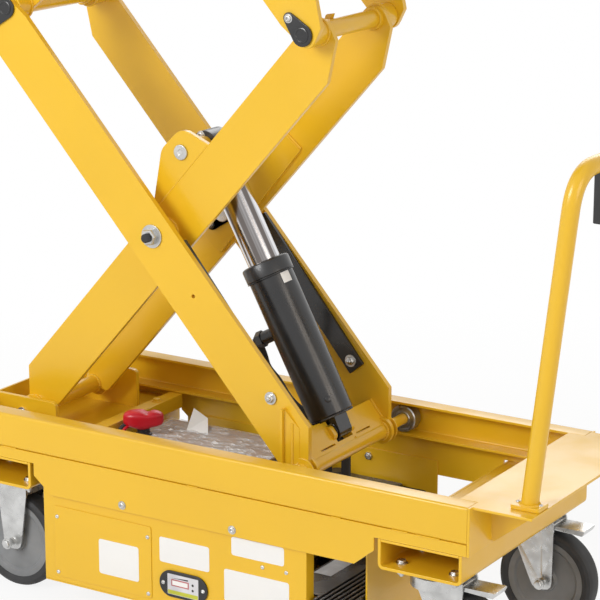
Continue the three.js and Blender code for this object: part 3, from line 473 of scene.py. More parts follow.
def dressed(node, finish, body, edge=0.8, widest=None):
    """A copy of a frame node with its flat faces joined and its edges rounded.

    Bolt heads that stand past the widest place are left off, for pieces that dress them apart."""
    bm = bmesh.new()
    bm.from_mesh(frame["nodes"][node].data)
    if widest:
        heads = [vertex for vertex in bm.verts if abs(vertex.co.y) > (widest + 0.05) * MM]
        bmesh.ops.delete(bm, geom=heads, context="VERTS")
        bmesh.ops.remove_doubles(bm, verts=bm.verts, dist=0.01 * MM)
        bmesh.ops.holes_fill(bm, edges=[edge for edge in bm.edges if edge.is_boundary])
    bmesh.ops.remove_doubles(bm, verts=bm.verts, dist=0.01 * MM)
    bmesh.ops.dissolve_limit(bm, angle_limit=math.radians(0.6), verts=bm.verts, edges=bm.edges)
    bmesh.ops.connect_verts_concave(bm, faces=bm.faces)
    mesh = bpy.data.meshes.new(node + "_dressed")
    bm.to_mesh(mesh)
    bm.free()
    mesh.materials.clear()
    mesh.shade_smooth()
    mesh.set_sharp_from_angle(angle=SHARP)
    obj = shown(node + "_dressed", mesh, finish, body, (node,))
    soften(obj, edge)
    return obj


# ---- repeated pieces -----------------------------------------------------------------------
def new_tree(name, sockets):
    tree = bpy.data.node_groups.new(name, "GeometryNodeTree")
    tree.interface.new_socket("Geometry", in_out="INPUT", socket_type="NodeSocketGeometry")
    for label, kind in sockets:
        tree.interface.new_socket(label, in_out="INPUT", socket_type=kind)
    tree.interface.new_socket("Geometry", in_out="OUTPUT", socket_type="NodeSocketGeometry")
    return tree


def wire(tree, kind, **inputs):
    node = tree.nodes.new(kind)
    for name, value in inputs.items():
        socket = node.inputs[name.replace("_", " ")]
        if isinstance(value, bpy.types.NodeSocket):
            tree.links.new(value, socket)
        else:
            socket.default_value = value
    return node


def finish_tree(tree, geometry, material):
    real = wire(tree, "GeometryNodeRealizeInstances", Geometry=geometry)
    smooth = wire(tree, "GeometryNodeSetShadeSmooth", Geometry=real.outputs["Geometry"])
    smooth.inputs["Shade Smooth"].default_value = True
    coated = wire(tree, "GeometryNodeSetMaterial", Geometry=smooth.outputs["Geometry"], Material=material)
    out = tree.nodes.new("NodeGroupOutput")
    tree.links.new(coated.outputs["Geometry"], out.inputs["Geometry"])


def fastener_tree():
    """Sets a copy of one fastener on every point, standing along the point's aim."""
    tree = new_tree("fasteners_on_points", [
        ("Fastener", "NodeSocketObject"), ("Finish", "NodeSocketMaterial")])
    given = tree.nodes.new("NodeGroupInput").outputs
    info = wire(tree, "GeometryNodeObjectInfo", Object=given["Fastener"])
    aim = tree.nodes.new("GeometryNodeInputNamedAttribute")
    aim.data_type = "FLOAT_VECTOR"
    aim.inputs["Name"].default_value = "aim"
    turn = wire(tree, "FunctionNodeAlignRotationToVector", Vector=aim.outputs["Attribute"])
    turn.axis = "Z"
    copies = wire(tree, "GeometryNodeInstanceOnPoints", Points=given["Geometry"],
                  Instance=info.outputs["Geometry"], Rotation=turn.outputs["Rotation"])
    finish_tree(tree, copies.outputs["Instances"], given["Finish"])
    return tree


def bead_tree():
    """Runs a weld bead along each line of points, with the ripples that the torch leaves."""
    tree = new_tree("weld_bead", [
        ("Width", "NodeSocketFloat"), ("Ripple", "NodeSocketFloat"), ("Pitch", "NodeSocketFloat"),
        ("Finish", "NodeSocketMaterial")])
    given = tree.nodes.new("NodeGroupInput").outputs
    line = wire(tree, "GeometryNodeMeshToCurve", Mesh=given["Geometry"])
    even = wire(tree, "GeometryNodeResampleCurve", Curve=line.outputs["Curve"])
    even.mode = "LENGTH"
    step = wire(tree, "ShaderNodeMath")
    step.operation = "DIVIDE"
    tree.links.new(given["Pitch"], step.inputs[0])
    step.inputs[1].default_value = 4.0
    tree.links.new(step.outputs[0], even.inputs["Length"])
    run = tree.nodes.new("GeometryNodeSplineParameter")
    held = wire(tree, "GeometryNodeCaptureAttribute", Geometry=even.outputs["Curve"])
    held.capture_items.new("FLOAT", "Run")
    tree.links.new(run.outputs["Length"], held.inputs[1])
    section = wire(tree, "GeometryNodeCurvePrimitiveCircle", Resolution=9, Radius=given["Width"])
    skin = wire(tree, "GeometryNodeCurveToMesh", Curve=held.outputs["Geometry"],
                Profile_Curve=section.outputs["Curve"])
    skin.inputs["Fill Caps"].default_value = True
    turns = maths(tree, "DIVIDE", held.outputs[1], given["Pitch"])
    wave = maths(tree, "SINE", maths(tree, "MULTIPLY", turns, 2 * math.pi))
    height = maths(tree, "MULTIPLY", wave, given["Ripple"])
    normal = tree.nodes.new("GeometryNodeInputNormal")
    push = wire(tree, "ShaderNodeVectorMath")
    push.operation = "SCALE"
    tree.links.new(normal.outputs["Normal"], push.inputs[0])
    tree.links.new(height, push.inputs["Scale"])
    rippled = wire(tree, "GeometryNodeSetPosition", Geometry=skin.outputs["Mesh"],
                   Offset=push.outputs["Vector"])
    finish_tree(tree, rippled.outputs["Geometry"], given["Finish"])
    return tree


def maths(tree, operation, first, second=None):
    node = tree.nodes.new("ShaderNodeMath")
    node.operation = operation
    for i, value in enumerate((first, second)):
        if isinstance(value, bpy.types.NodeSocket):
            tree.links.new(value, node.inputs[i])
        elif value is not None:
            node.inputs[i].default_value = value
    return node.outputs[0]


def row_tree():
    """Repeats one piece in a straight row."""
    tree = new_tree("row_of_pieces", [
        ("Piece", "NodeSocketObject"), ("Count", "NodeSocketInt"), ("Step", "NodeSocketVector"),
        ("Finish", "NodeSocketMaterial")])
    given = tree.nodes.new("NodeGroupInput").outputs
    info = wire(tree, "GeometryNodeObjectInfo", Object=given["Piece"])
    places = wire(tree, "GeometryNodeMeshLine", Count=given["Count"], Offset=given["Step"])
    copies = wire(tree, "GeometryNodeInstanceOnPoints", Points=places.outputs["Mesh"],
                  Instance=info.outputs["Geometry"])
    finish_tree(tree, copies.outputs["Instances"], given["Finish"])
    return tree


def grown(name, tree, source, settings, finish, body):
    """Runs a tree on a source mesh and keeps the result as a plain piece."""
    seed = bpy.data.objects.new(name + "_seed", source)
    bpy.context.scene.collection.objects.link(seed)
    modifier = seed.modifiers.new("build", "NODES")
    modifier.node_group = tree
    for item in tree.interface.items_tree:
        if item.item_type == "SOCKET" and item.in_out == "INPUT" and item.name in settings:
            modifier[item.identifier] = settings[item.name]
    seed.update_tag()
    bpy.context.view_layer.update()
    depsgraph = bpy.context.evaluated_depsgraph_get()
    mesh = bpy.data.meshes.new_from_object(seed.evaluated_get(depsgraph))
    mesh.name = name
    bpy.data.objects.remove(seed)
    mesh.shade_smooth()
    mesh.set_sharp_from_angle(angle=SHARP)
    return shown(name, mesh, finish, body)


FASTENERS = fastener_tree()
BEAD = bead_tree()
ROW = row_tree()


def template(name, build, edge=0.25):
    """A fastener or rib that a tree repeats. It is taken out of the scene at the end."""
    bm = bmesh.new()
    build(bm)
    bmesh.ops.recalc_face_normals(bm, faces=bm.faces)
    if edge:
        sharp = [e for e in bm.edges if len(e.link_faces) == 2 and e.calc_face_angle(0) > SHARP]
        bmesh.ops.bevel(bm, geom=sharp, offset=edge * MM, segments=1, affect="EDGES", clamp_overlap=True)
    mesh = bpy.data.meshes.new(name)
    bm.to_mesh(mesh)
    bm.free()
    obj = bpy.data.objects.new(name, mesh)
    bpy.context.scene.collection.objects.link(obj)
    TEMPLATES.append(obj)
    return obj


TEMPLATES = []


def socket_screw(bm, radius=6.5, height=4.6):
    """Button head with a six-sided recess, on its washer."""
    turned(bm, [(0, -1), (radius * 1.32, -1), (radius * 1.32, 1.3), (0, 1.3)], STILL, 24)
    dome = [(0, 1.2), (radius, 1.2), (radius, 2.2), (radius * 0.93, 3.6), (radius * 0.72, height),
            (radius * 0.46, height), (radius * 0.44, height - 2.4), (0, height - 2.4)]
    turned(bm, dome, STILL, 24)


def hex_bolt(bm, radius=8.5, height=6.5):
    turned(bm, [(0, -1), (radius * 1.32, -1), (radius * 1.32, 1.6), (0, 1.6)], STILL, 28)
    head = [(0, 1.4), (radius, 1.4), (radius, height - 1), (radius * 0.86, height), (0, height)]
    turned(bm, head, STILL, 6)


def hex_nut(bm, radius=8.5, height=7.5):
    hex_bolt(bm, radius, height)
    turned(bm, [(0, height - 0.5), (radius * 0.5, height - 0.5), (radius * 0.5, height + 3.4),
                (radius * 0.42, height + 4.2), (0, height + 4.2)], STILL, 20)


def small_screw(bm):
    turned(bm, [(0, -0.5), (4.2, -0.5), (4.2, 0.8), (3.2, 2.2), (1.6, 2.6), (1.5, 1.6), (0, 1.6)], STILL, 20)


KINDS = {
    "socket_screw": template("socket_screw", socket_screw),
    "hex_bolt": template("hex_bolt", hex_bolt),
    "hex_nut": template("hex_nut", hex_nut),
    "small_screw": template("small_screw", small_screw, 0.15),
}


def fasteners(name, kind, body, spots, finish=ZINC, place=BASE):
    """Puts one kind of fastener at each (point, aim)."""
    mesh = bpy.data.meshes.new(name + "_spots")
    mesh.from_pydata([place @ (Vector(point) * MM) for point, _ in spots], [], [])
    aims = mesh.attributes.new("aim", "FLOAT_VECTOR", "POINT")
    turn = place.to_3x3()
    for i, (_, aim) in enumerate(spots):
        aims.data[i].vector = (turn @ Vector(aim)).normalized()
    settings = {"Fastener": KINDS[kind], "Finish": finish.material}
    return grown(name, FASTENERS, mesh, settings, finish, body)


def beads(name, body, lines, width=WELD, finish=YELLOW, place=BASE):
    """Weld beads along lists of points."""
    mesh = bpy.data.meshes.new(name + "_lines")
    vertices = []
    edges = []
    for line in lines:
        start = len(vertices)
        vertices.extend(place @ (Vector(point) * MM) for point in line)
        edges.extend((i, i + 1) for i in range(start, len(vertices) - 1))
    mesh.from_pydata(vertices, edges, [])
    settings = {"Width": width * MM, "Ripple": width * 0.13 * MM, "Pitch": width * 1.05 * MM,
                "Finish": finish.material}
    return grown(name, BEAD, mesh, settings, finish, body)


def circle_y(x, y, z, radius, steps=40, arc=(0.0, 360.0)):
    """Points of a circle round an axis along Y."""
    low, high = (math.radians(angle) for angle in arc)
    angles = [low + (high - low) * i / steps for i in range(steps + 1)]
    return [(x + radius * math.cos(a), y, z + radius * math.sin(a)) for a in angles]


# ---- scissor arms --------------------------------------------------------------------------
BAR_TILT = (LOW_PIN_DROP + MID_PIN_RISE) / (2 * HALF_ARM)


BAR_CORNER_CUT = 0.8             # taken off the top corner at a bar's pin end


def bar_outline(low_end, flip):
    """Outline of an arm's bar. low_end is the side of its hinge or roller pin."""
    s, c = math.sin(FOLD), math.cos(FOLD)
    half = ARM_WIDTH / 2
    square_end = LOW_PIN_DROP + half + ARM_END_REACH * (BAR_TILT * c - s)
    up = square_end / (c + BAR_TILT * s) - BAR_CORNER_CUT

    def pin_end(rise):
        return HALF_ARM + ARM_END_REACH * c - rise * s, ARM_END_REACH * s + rise * c

    def joint_end(out, rise):
        return -HALF_ARM - out * c - rise * s, -out * s + rise * c

    def edge(x, side):
        return x, LOW_PIN_DROP + (x - HALF_ARM) * BAR_TILT + side * half

    corners = [
        (*pin_end(up), 3), (*pin_end(2), 4), (*edge(HALF_ARM - 12, -1), 14),
        (*edge(-HALF_ARM + 60, -1), 4), (*joint_end(38, -14), 6), (*joint_end(14, 34), 22),
        (*edge(-HALF_ARM + 40, 1), 0),
    ]
    return rounded([(low_end * x, flip * z, radius) for x, z, radius in corners])


def bars(place, low_end, flip, face):
    outline = bar_outline(low_end, flip)

    def build(bm):
        for side in SIDES.values():
            slab(bm, outline, *sorted((side * (face - ARM_WALL), side * face)), place)
    return build


def cross_tube(bm, place, x, reach, radius=TUBE):
    bar(bm, radius, -reach, reach, along_y(place, x))


def ring_bosses(bm, place, x, low, high, radius=BOSS):
    mirrored_bar(bm, radius, low, high, along_y(place, x))


INNER_BACK = INNER_FACE - ARM_WALL
OUTER_BACK = OUTER_FACE - ARM_WALL
JOINT_END = OUTER_BACK - FIT
EAR = {"x": 145, "z": 74, "radius": 37}
DOUBLER = {"rear": -70, "front": 228, "wall": 6}
BAR_BOLT = {"x": 388, "z": 31}
FOOT = {"x": 496, "z": 11.4, "inner": 26, "lug": 12}


def lower_inner_arms():
    body = "lower_inner_arms"
    place = LOWER_INNER
    piece("lower_inner_bars", YELLOW, body, bars(place, -1, 1, INNER_FACE), 1.2, ("lower_inner_arms",))

    def ears(bm):
        x, z, radius = EAR["x"], EAR["z"], EAR["radius"]
        seat = ARM_WIDTH / 2 - 22
        outline = rounded([
            (x - 175, seat, 0), (x - radius + 8, z + radius, 34), (x + radius, z + radius - 6, 34),
            (x + radius + 22, seat, 0)], 10)
        for side in SIDES.values():
            slab(bm, outline, *sorted((side * (INNER_BACK + 0.2), side * (INNER_FACE - 0.2))), place)

    def doublers(bm):
        outline = rectangle((DOUBLER["rear"], DOUBLER["front"]), (-ARM_WIDTH / 2 + 4, ARM_WIDTH / 2 - 14), 2)
        back = INNER_BACK - DOUBLER["wall"]
        for side in SIDES.values():
            slab(bm, outline, *sorted((side * back, side * INNER_BACK)), place)

    def tubes(bm):
        cross_tube(bm, place, HALF_ARM, INNER_BACK + 1)
        cross_tube(bm, place, -HALF_ARM, INNER_BACK + 1)

    def bosses(bm):
        ring_bosses(bm, place, HALF_ARM, INNER_FACE - 1, JOINT_END)
        ring_bosses(bm, place, 0, INNER_FACE - 1, JOINT_END)
        ring_bosses(bm, place, -HALF_ARM, INNER_FACE - 1, 133.7)
        ring_bosses(bm, place, HALF_ARM, INNER_BACK - 9, INNER_BACK + 1, TUBE + 5)

    piece("lower_inner_ears", YELLOW, body, ears, 1.2)
    piece("lower_inner_doublers", YELLOW, body, doublers)
    piece("lower_inner_tubes", YELLOW, body, tubes)
    piece("lower_inner_bosses", YELLOW, body, bosses, 1.5)
    lines = []
    for side in SIDES.values():
        for x in (HALF_ARM, -HALF_ARM):
            lines.append(circle_y(x, side * (INNER_FACE + 1), 0, BOSS + 0.5))
            lines.append(circle_y(x, side * (INNER_BACK - 1), 0, TUBE + 0.5))
        lines.append(circle_y(0, side * (INNER_FACE + 1), 0, BOSS + 0.5))
        back = side * (INNER_BACK - 1.5)
        front = DOUBLER["front"] + 1
        lines.append([(front, back, z) for z in range(-46, 38, 4)])
    beads("lower_inner_welds", body, lines, 3.0, place=place)
    seam_lines = []
    for side in SIDES.values():
        start, end = EAR["x"] - 128, EAR["x"] + EAR["radius"] + 16
        steps = range(int(start), int(end), 6)
        seam_lines.append([(x, side * (INNER_FACE - 0.4), bar_top(x)) for x in steps])
    beads("ear_welds", body, seam_lines, 1.5, place=place)
    nipple = [((HALF_ARM, 0, TUBE - 1), (-0.5, 0, 1))]
    fasteners("front_joint_nipple", "small_screw", body, nipple, place=place)

    def lug(bm):
        outline = rounded([(-16, -2, 0), (-9, 11, 6), (9, 11, 6), (16, -2, 0)])
        slab(bm, outline, -44, -34, place @ Matrix.Translation((HALF_ARM * MM, 0, TUBE * MM)) @
             Matrix.Rotation(math.radians(-20), 4, "Y"))
    piece("front_joint_lug", YELLOW, body, lug)


def bar_top(x):
    """Height of the lower inner bar's top edge over its pin line."""
    return LOW_PIN_DROP + (-x - HALF_ARM) * BAR_TILT + ARM_WIDTH / 2


def lower_outer_arms():
    body = "lower_outer_arms"
    place = LOWER_OUTER
    low = HALF_ARM
    bar_obj = piece("lower_outer_bars", YELLOW, body, bars(place, 1, 1, OUTER_FACE), 1.2,
                    ("lower_outer_arms",))
    drilled(bar_obj, lambda bm: bar(bm, 4, -200, 200, along_y(place, 141.9, 5), 20))

    def plate(bm):
        rear, front, notch = low - 64, low - 2, FOOT["inner"] + 2
        reach = OUTER_BACK - 0.2
        outline = [(rear, -reach), (front, -reach), (front, reach), (rear, reach), (rear, notch),
                   (low - 17, notch), (low - 17, -notch), (rear, -notch)]
        slab(bm, outline, 6, 15, place, "Z")

    def flanges(bm):
        ring_bosses(bm, place, low, OUTER_BACK - 9, OUTER_BACK + 1, BOSS + 2)
        ring_bosses(bm, place, low, OUTER_FACE - 1, OUTER_FACE + 2, BOSS + 2)

    def lugs(bm):
        reach = 12
        outline = rounded([
            (FOOT["x"] - 20, -8, 6), (FOOT["x"] - reach, FOOT["z"] + reach, 10),
            (FOOT["x"] + reach, FOOT["z"] + reach, 10), (FOOT["x"] + 28, -8, 0)])
        for side in SIDES.values():
            inner = FOOT["inner"]
            slab(bm, outline, *sorted((side * inner, side * (inner + FOOT["lug"]))), place)

    piece("roller_cross_tube", YELLOW, body, lambda bm: cross_tube(bm, place, low, OUTER_BACK))
    cross = piece("cylinder_cross_plate", YELLOW, body, plate)
    drilled(cross, lambda bm: plate_slots(bm, place))
    piece("roller_tube_flanges", YELLOW, body, flanges, 1.5)
    piece("cylinder_lugs", YELLOW, body, lugs)
    upright = Matrix.Translation(place @ Vector((low * MM, 0, 0)))
    piece("arm_stiffeners", YELLOW, body, lambda bm: stiffeners(bm, upright))

    def axles(bm):
        for side in SIDES.values():
            profile = [(0, OUTER_FACE), (11, OUTER_FACE), (11, 253), (10, 254), (0, 254)]
            turned(bm, profile, along_y(place, low) @ Matrix.Rotation(math.pi * (side < 0), 4, "X"))
    piece("lower_roller_axles", YELLOW, body, axles, 0.4)
    roller_collars("lower_roller_collars", body, place, low)
    lines = []
    for side in SIDES.values():
        lines.append(circle_y(low, side * (OUTER_BACK - 10), 0, TUBE + 0.5))
        lines.append(circle_y(low, side * (OUTER_FACE + 2.5), 0, 12.5))
        lines.append([(low - 64 + 4 * i, side * (OUTER_BACK - 1), 15.5) for i in range(12)])
    beads("lower_outer_welds", body, lines, 3.4, place=place)
    rib_lines = []
    for side in SIDES.values():
        face = side * (OUTER_FACE + 0.8)
        rib_lines.append([(-20, face + side * 3.4, z) for z in range(8, 96, 5)])
        rib_lines.append([(-30 + 3 * i, side * (OUTER_FACE + 3), 4 + 1.4 * i) for i in range(9)])
    beads("stiffener_welds", body, rib_lines, 2.6, place=upright)


def plate_slots(bm, place):
    for x, y in ((HALF_ARM - 16, -66), (HALF_ARM - 16, 66)):
        block(bm, (x - 1.6, x + 1.6), (y - 26, y + 26), (-20, 20), place)
    bar(bm, 3, -20, 20, place @ Matrix.Translation(((HALF_ARM - 9) * MM, 0.03, 0)), 16)


def roller_collars(name, body, place, x):
    def build(bm):
        for side in SIDES.values():
            turn = Matrix.Rotation(math.pi * (side < 0), 4, "X")
            profile = [(11.2, 252.3), (16, 252.3), (16, 253.6), (11.2, 253.6)]
            turned(bm, profile, along_y(place, x) @ turn, 32, ring=True)
    piece(name, ZINC, body, build, 0.2)


def stiffeners(bm, place):
    """Upright ribs on the outer faces, each with a fillet that falls to the arm's end."""
    rib = [(-42, -0.4), (-42, 15), (-36, 15), (-36, -0.4)]
    fillet = [(-36.2, -0.4), (-36.2, 8), (-20, 4.6), (-6, 1), (-6, -0.4)]
    for side in SIDES.values():
        slab(bm, [(x, side * (OUTER_FACE + y)) for x, y in fillet], 8, 118, place, "Z")
    corner = place @ Vector((-36 * MM, 0, 119 * MM))
    bmesh.ops.bisect_plane(bm, geom=[*bm.verts, *bm.edges, *bm.faces], plane_co=corner,
                           plane_no=(0.77, 0, 0.64), clear_outer=True)
    bmesh.ops.holes_fill(bm, edges=[edge for edge in bm.edges if edge.is_boundary])
    for side in SIDES.values():
        slab(bm, [(x, side * (OUTER_FACE + y)) for x, y in rib], 8, 120, place, "Z")


def drilled(obj, build):
    """Cuts a piece with a shape, before its edges are rounded."""
    bm = bmesh.new()
    build(bm)
    bmesh.ops.recalc_face_normals(bm, faces=bm.faces)
    mesh = bpy.data.meshes.new("cutter")
    bm.to_mesh(mesh)
    bm.free()
    cutter = bpy.data.objects.new("cutter", mesh)
    bpy.context.scene.collection.objects.link(cutter)
    rim = obj.modifiers[0]
    rim.show_viewport = False
    hole = obj.modifiers.new("hole", "BOOLEAN")
    hole.object = cutter
    hole.operation = "DIFFERENCE"
    hole.solver = "EXACT"
    bpy.context.view_layer.update()
    depsgraph = bpy.context.evaluated_depsgraph_get()
    result = bpy.data.meshes.new_from_object(obj.evaluated_get(depsgraph))
    obj.modifiers.remove(hole)
    rim.show_viewport = True
    obj.data = result
    obj.data.set_sharp_from_angle(angle=SHARP)
    bpy.data.objects.remove(cutter)


def upper_inner_arms():
    body = "upper_inner_arms"
    place = UPPER_INNER
    low = HALF_ARM
    piece("upper_inner_bars", YELLOW, body, bars(place, 1, -1, INNER_FACE), 1.2, ("upper_inner_arms",))

    def tubes(bm):
        cross_tube(bm, place, -HALF_ARM, INNER_BACK + 1)
        cross_tube(bm, place, low, INNER_FACE + 30)

    def bosses(bm):
        ring_bosses(bm, place, -HALF_ARM, INNER_FACE - 1, JOINT_END)
        ring_bosses(bm, place, 0, INNER_FACE - 1, JOINT_END)
        ring_bosses(bm, place, low, INNER_BACK - 8, INNER_FACE + 8)

    def axles(bm):
        for side in SIDES.values():
            profile = [(0, 130), (11, 130), (11, 253), (10, 254), (0, 254)]
            turned(bm, profile, along_y(place, low) @ Matrix.Rotation(math.pi * (side < 0), 4, "X"))
    piece("upper_inner_tubes", YELLOW, body, tubes)
    piece("upper_inner_bosses", YELLOW, body, bosses, 1.5)
    piece("upper_roller_axles", YELLOW, body, axles, 0.4)
    roller_collars("upper_roller_collars", body, place, low)
    lines = []
    for side in SIDES.values():
        lines.append(circle_y(-HALF_ARM, side * (INNER_FACE + 1), 0, BOSS + 0.5))
        lines.append(circle_y(-HALF_ARM, side * (INNER_BACK - 1), 0, TUBE + 0.5))
        lines.append(circle_y(0, side * (INNER_FACE + 1), 0, BOSS + 0.5))
        lines.append(circle_y(low, side * (INNER_FACE + 8), 0, TUBE + 0.5))
    beads("upper_inner_welds", body, lines, 3.0, place=place)


def upper_outer_arms():
    body = "upper_outer_arms"
    place = UPPER_OUTER
    low = -HALF_ARM
    piece("upper_outer_bars", YELLOW, body, bars(place, -1, -1, OUTER_FACE), 1.2, ("upper_outer_arms",))

    def hinge_tube(bm):
        cross_tube(bm, place, low, OUTER_FACE - 0.5)

    def flanges(bm):
        ring_bosses(bm, place, low, OUTER_BACK - 9, OUTER_BACK + 1, BOSS + 2)
        ring_bosses(bm, place, low, OUTER_FACE - 1, OUTER_FACE + 2, BOSS + 2)
    piece("upper_hinge_tube", YELLOW, body, hinge_tube)
    piece("upper_hinge_flanges", YELLOW, body, flanges, 1.5)
    lines = [circle_y(low, side * (OUTER_BACK - 10), 0, TUBE + 0.5) for side in SIDES.values()]
    beads("upper_outer_welds", body, lines, 3.2, place=place)


def centre_pin(name, label, body, place, head_face):
    """Pivot bolt with its head inside, and washer, nut and thread outside."""
    side = SIDES[label]
    face = OUTER_FACE + FIT
    turn = along_y(place) @ Matrix.Rotation(math.pi * (side < 0), 4, "X")

    def plain(bm):
        turned(bm, [(0, head_face - 8 - FIT), (17, head_face - 8 - FIT), (20, head_face - 6),
                    (20, head_face - FIT), (PIN, head_face - FIT), (PIN, face), (23, face),
                    (23, face + 3), (0, face + 3)], turn, 48)
        turned(bm, [(0, face + 2.5), (17, face + 2.5), (17, face + 14), (14.6, face + 17), (0, face + 17)],
               turn, 6)

    def thread(bm):
        rows = [(0, face + 16)]
        for i in range(8):
            rows += [(8.9, face + 16 + 1.2 * i), (8.2, face + 16.6 + 1.2 * i)]
        rows += [(7.2, face + 26), (0, face + 26)]
        turned(bm, rows, turn, 28)
    piece(f"{name}_{label}_dressed", ZINC, body, plain, 0.5, (f"{name}_{label}",))
    piece(f"{name}_{label}_thread", BLACK, body, thread, 0)


def lock_pin(name, label, body, centre, lean):
    """Joint pin with its teardrop lock plate, screwed to the outer arm."""
    side = SIDES[label]
    face = OUTER_FACE + FIT
    place = Matrix.Translation(centre)
    reach = 40
    spread = math.asin((21 - 11) / reach)
    turn = along_y(place) @ Matrix.Rotation(math.pi * (side < 0), 4, "X")

    def plate(bm):
        tip = (reach * math.cos(lean), reach * math.sin(lean))
        tear = arc((0, 0), 21, lean + math.pi / 2 - spread, lean + 1.5 * math.pi + spread)
        tear += arc(tip, 11, lean - math.pi / 2 + spread, lean + math.pi / 2 - spread)
        slab(bm, tear, *sorted((side * face, side * (face + 4.4))), place)

    def pin(bm):
        turned(bm, [(0, face + 4.2), (14.5, face + 4.2), (14.5, face + 5.2), (12.6, face + 6),
                    (11.4, face + 6), (10.6, face + 5), (0, face + 5)], turn, 40)
        bar(bm, PIN, 103, face + 1, turn, 40)
    piece(f"{name}_{label}_plate", BLACK, body, plate, 1.0, (f"{name}_{label}",))
    piece(f"{name}_{label}_pin", BLACK, body, pin, 0.3)
    spot = (reach * math.cos(lean), side * (face + 4), reach * math.sin(lean))
    fasteners(f"{name}_{label}_screw", "socket_screw", body, [(spot, (0, side, 0))], place=place)


def arc(centre, radius, start, end, steps=20):
    angles = [start + (end - start) * i / steps for i in range(steps + 1)]
    return [(centre[0] + radius * math.cos(a), centre[1] + radius * math.sin(a)) for a in angles]


def roller(name, body):
    """Steel roller with chamfered edges and a shallow recess round its bore."""
    low, high = BOXES[name]
    middle = (low + high) / 2
    half = ROLLER_WIDTH / 2
    place = along_y(Matrix.Translation(middle))
    profile = [(11.4, -half), (15, -half), (16, -half + 1.5), (21, -half + 1.5), (22, -half),
               (ROLLER - 2, -half), (ROLLER, -half + 2), (ROLLER, half - 2), (ROLLER - 2, half),
               (22, half), (21, half - 1.5), (16, half - 1.5), (15, half), (11.4, half)]
    piece(name + "_dressed", STEEL, body, lambda bm: turned(bm, profile, place, 56, ring=True), 0.3, (name,))


def maintenance_bar(label):
    """Flat stop bar, bolted inside an outer arm."""
    body = f"maintenance_bar_{label}"
    side = SIDES[label]
    place = LOWER_OUTER @ Matrix.Translation((BAR_BOLT["x"] * MM, 0, BAR_BOLT["z"] * MM))
    outer = OUTER_BACK - FIT
    flat = rectangle((-345, 20), (-19, 19), 2)
    faces = sorted((side * (outer - 8), side * outer))
    piece(body + "_flat", BLACK, body, lambda bm: slab(bm, flat, *faces, place), 0.9, (body,))
    inner = ((0, side * (outer - 8), 0), (0, -side, 0))
    outside = ((0, side * (OUTER_FACE + FIT + 1), 0), (0, side, 0))
    washer = [(6, 0), (12.5, 0), (12.5, 2.2), (6, 2.2)]
    for name, (spot, facing) in (("inner", inner), ("outer", outside)):
        turn = Matrix.Rotation(math.pi * (facing[1] < 0), 4, "X")
        seat = along_y(place @ Matrix.Translation((0, spot[1] * MM, 0))) @ turn
        piece(f"{body}_{name}_washer", ZINC, body,
              lambda bm, seat=seat: turned(bm, washer, seat, 32, ring=True), 0.3)
    fasteners(body + "_fasteners", "hex_nut", body, [inner], place=place)
    fasteners(body + "_bolt_head", "hex_nut", body, [outside], place=place)


def scissors():
    lower_inner_arms()
    lower_outer_arms()
    upper_inner_arms()
    upper_outer_arms()
    lean = math.radians(134)
    for label in SIDES:
        centre_pin("lower_centre_pin", label, "lower_outer_arms", LOWER_OUTER, INNER_BACK - DOUBLER["wall"])
        centre_pin("upper_centre_pin", label, "upper_outer_arms", UPPER_OUTER, INNER_BACK)
        lock_pin("front_lock_pin", label, "upper_outer_arms", FRONT_MID, lean)
        lock_pin("rear_lock_pin", label, "lower_outer_arms", REAR_MID, -lean)
        roller(f"lower_roller_{label}", f"lower_roller_{label}")
        roller(f"upper_roller_{label}", f"upper_roller_{label}")
        maintenance_bar(label)


# ---- lift cylinder -------------------------------------------------------------------------
CYLINDER_FOOT = pivot("barrel_pivot")
STROKE = Vector(JOINTS["rod_slide"]["axis"])
CYLINDER = turned_to(CYLINDER_FOOT, math.atan2(STROKE.x, STROKE.z))
EYE = LOWER_INNER @ (Vector((EAR["x"], 0, EAR["z"])) * MM)
EYE_REACH = (EYE - CYLINDER_FOOT).length / MM
BARREL_TOP = 356


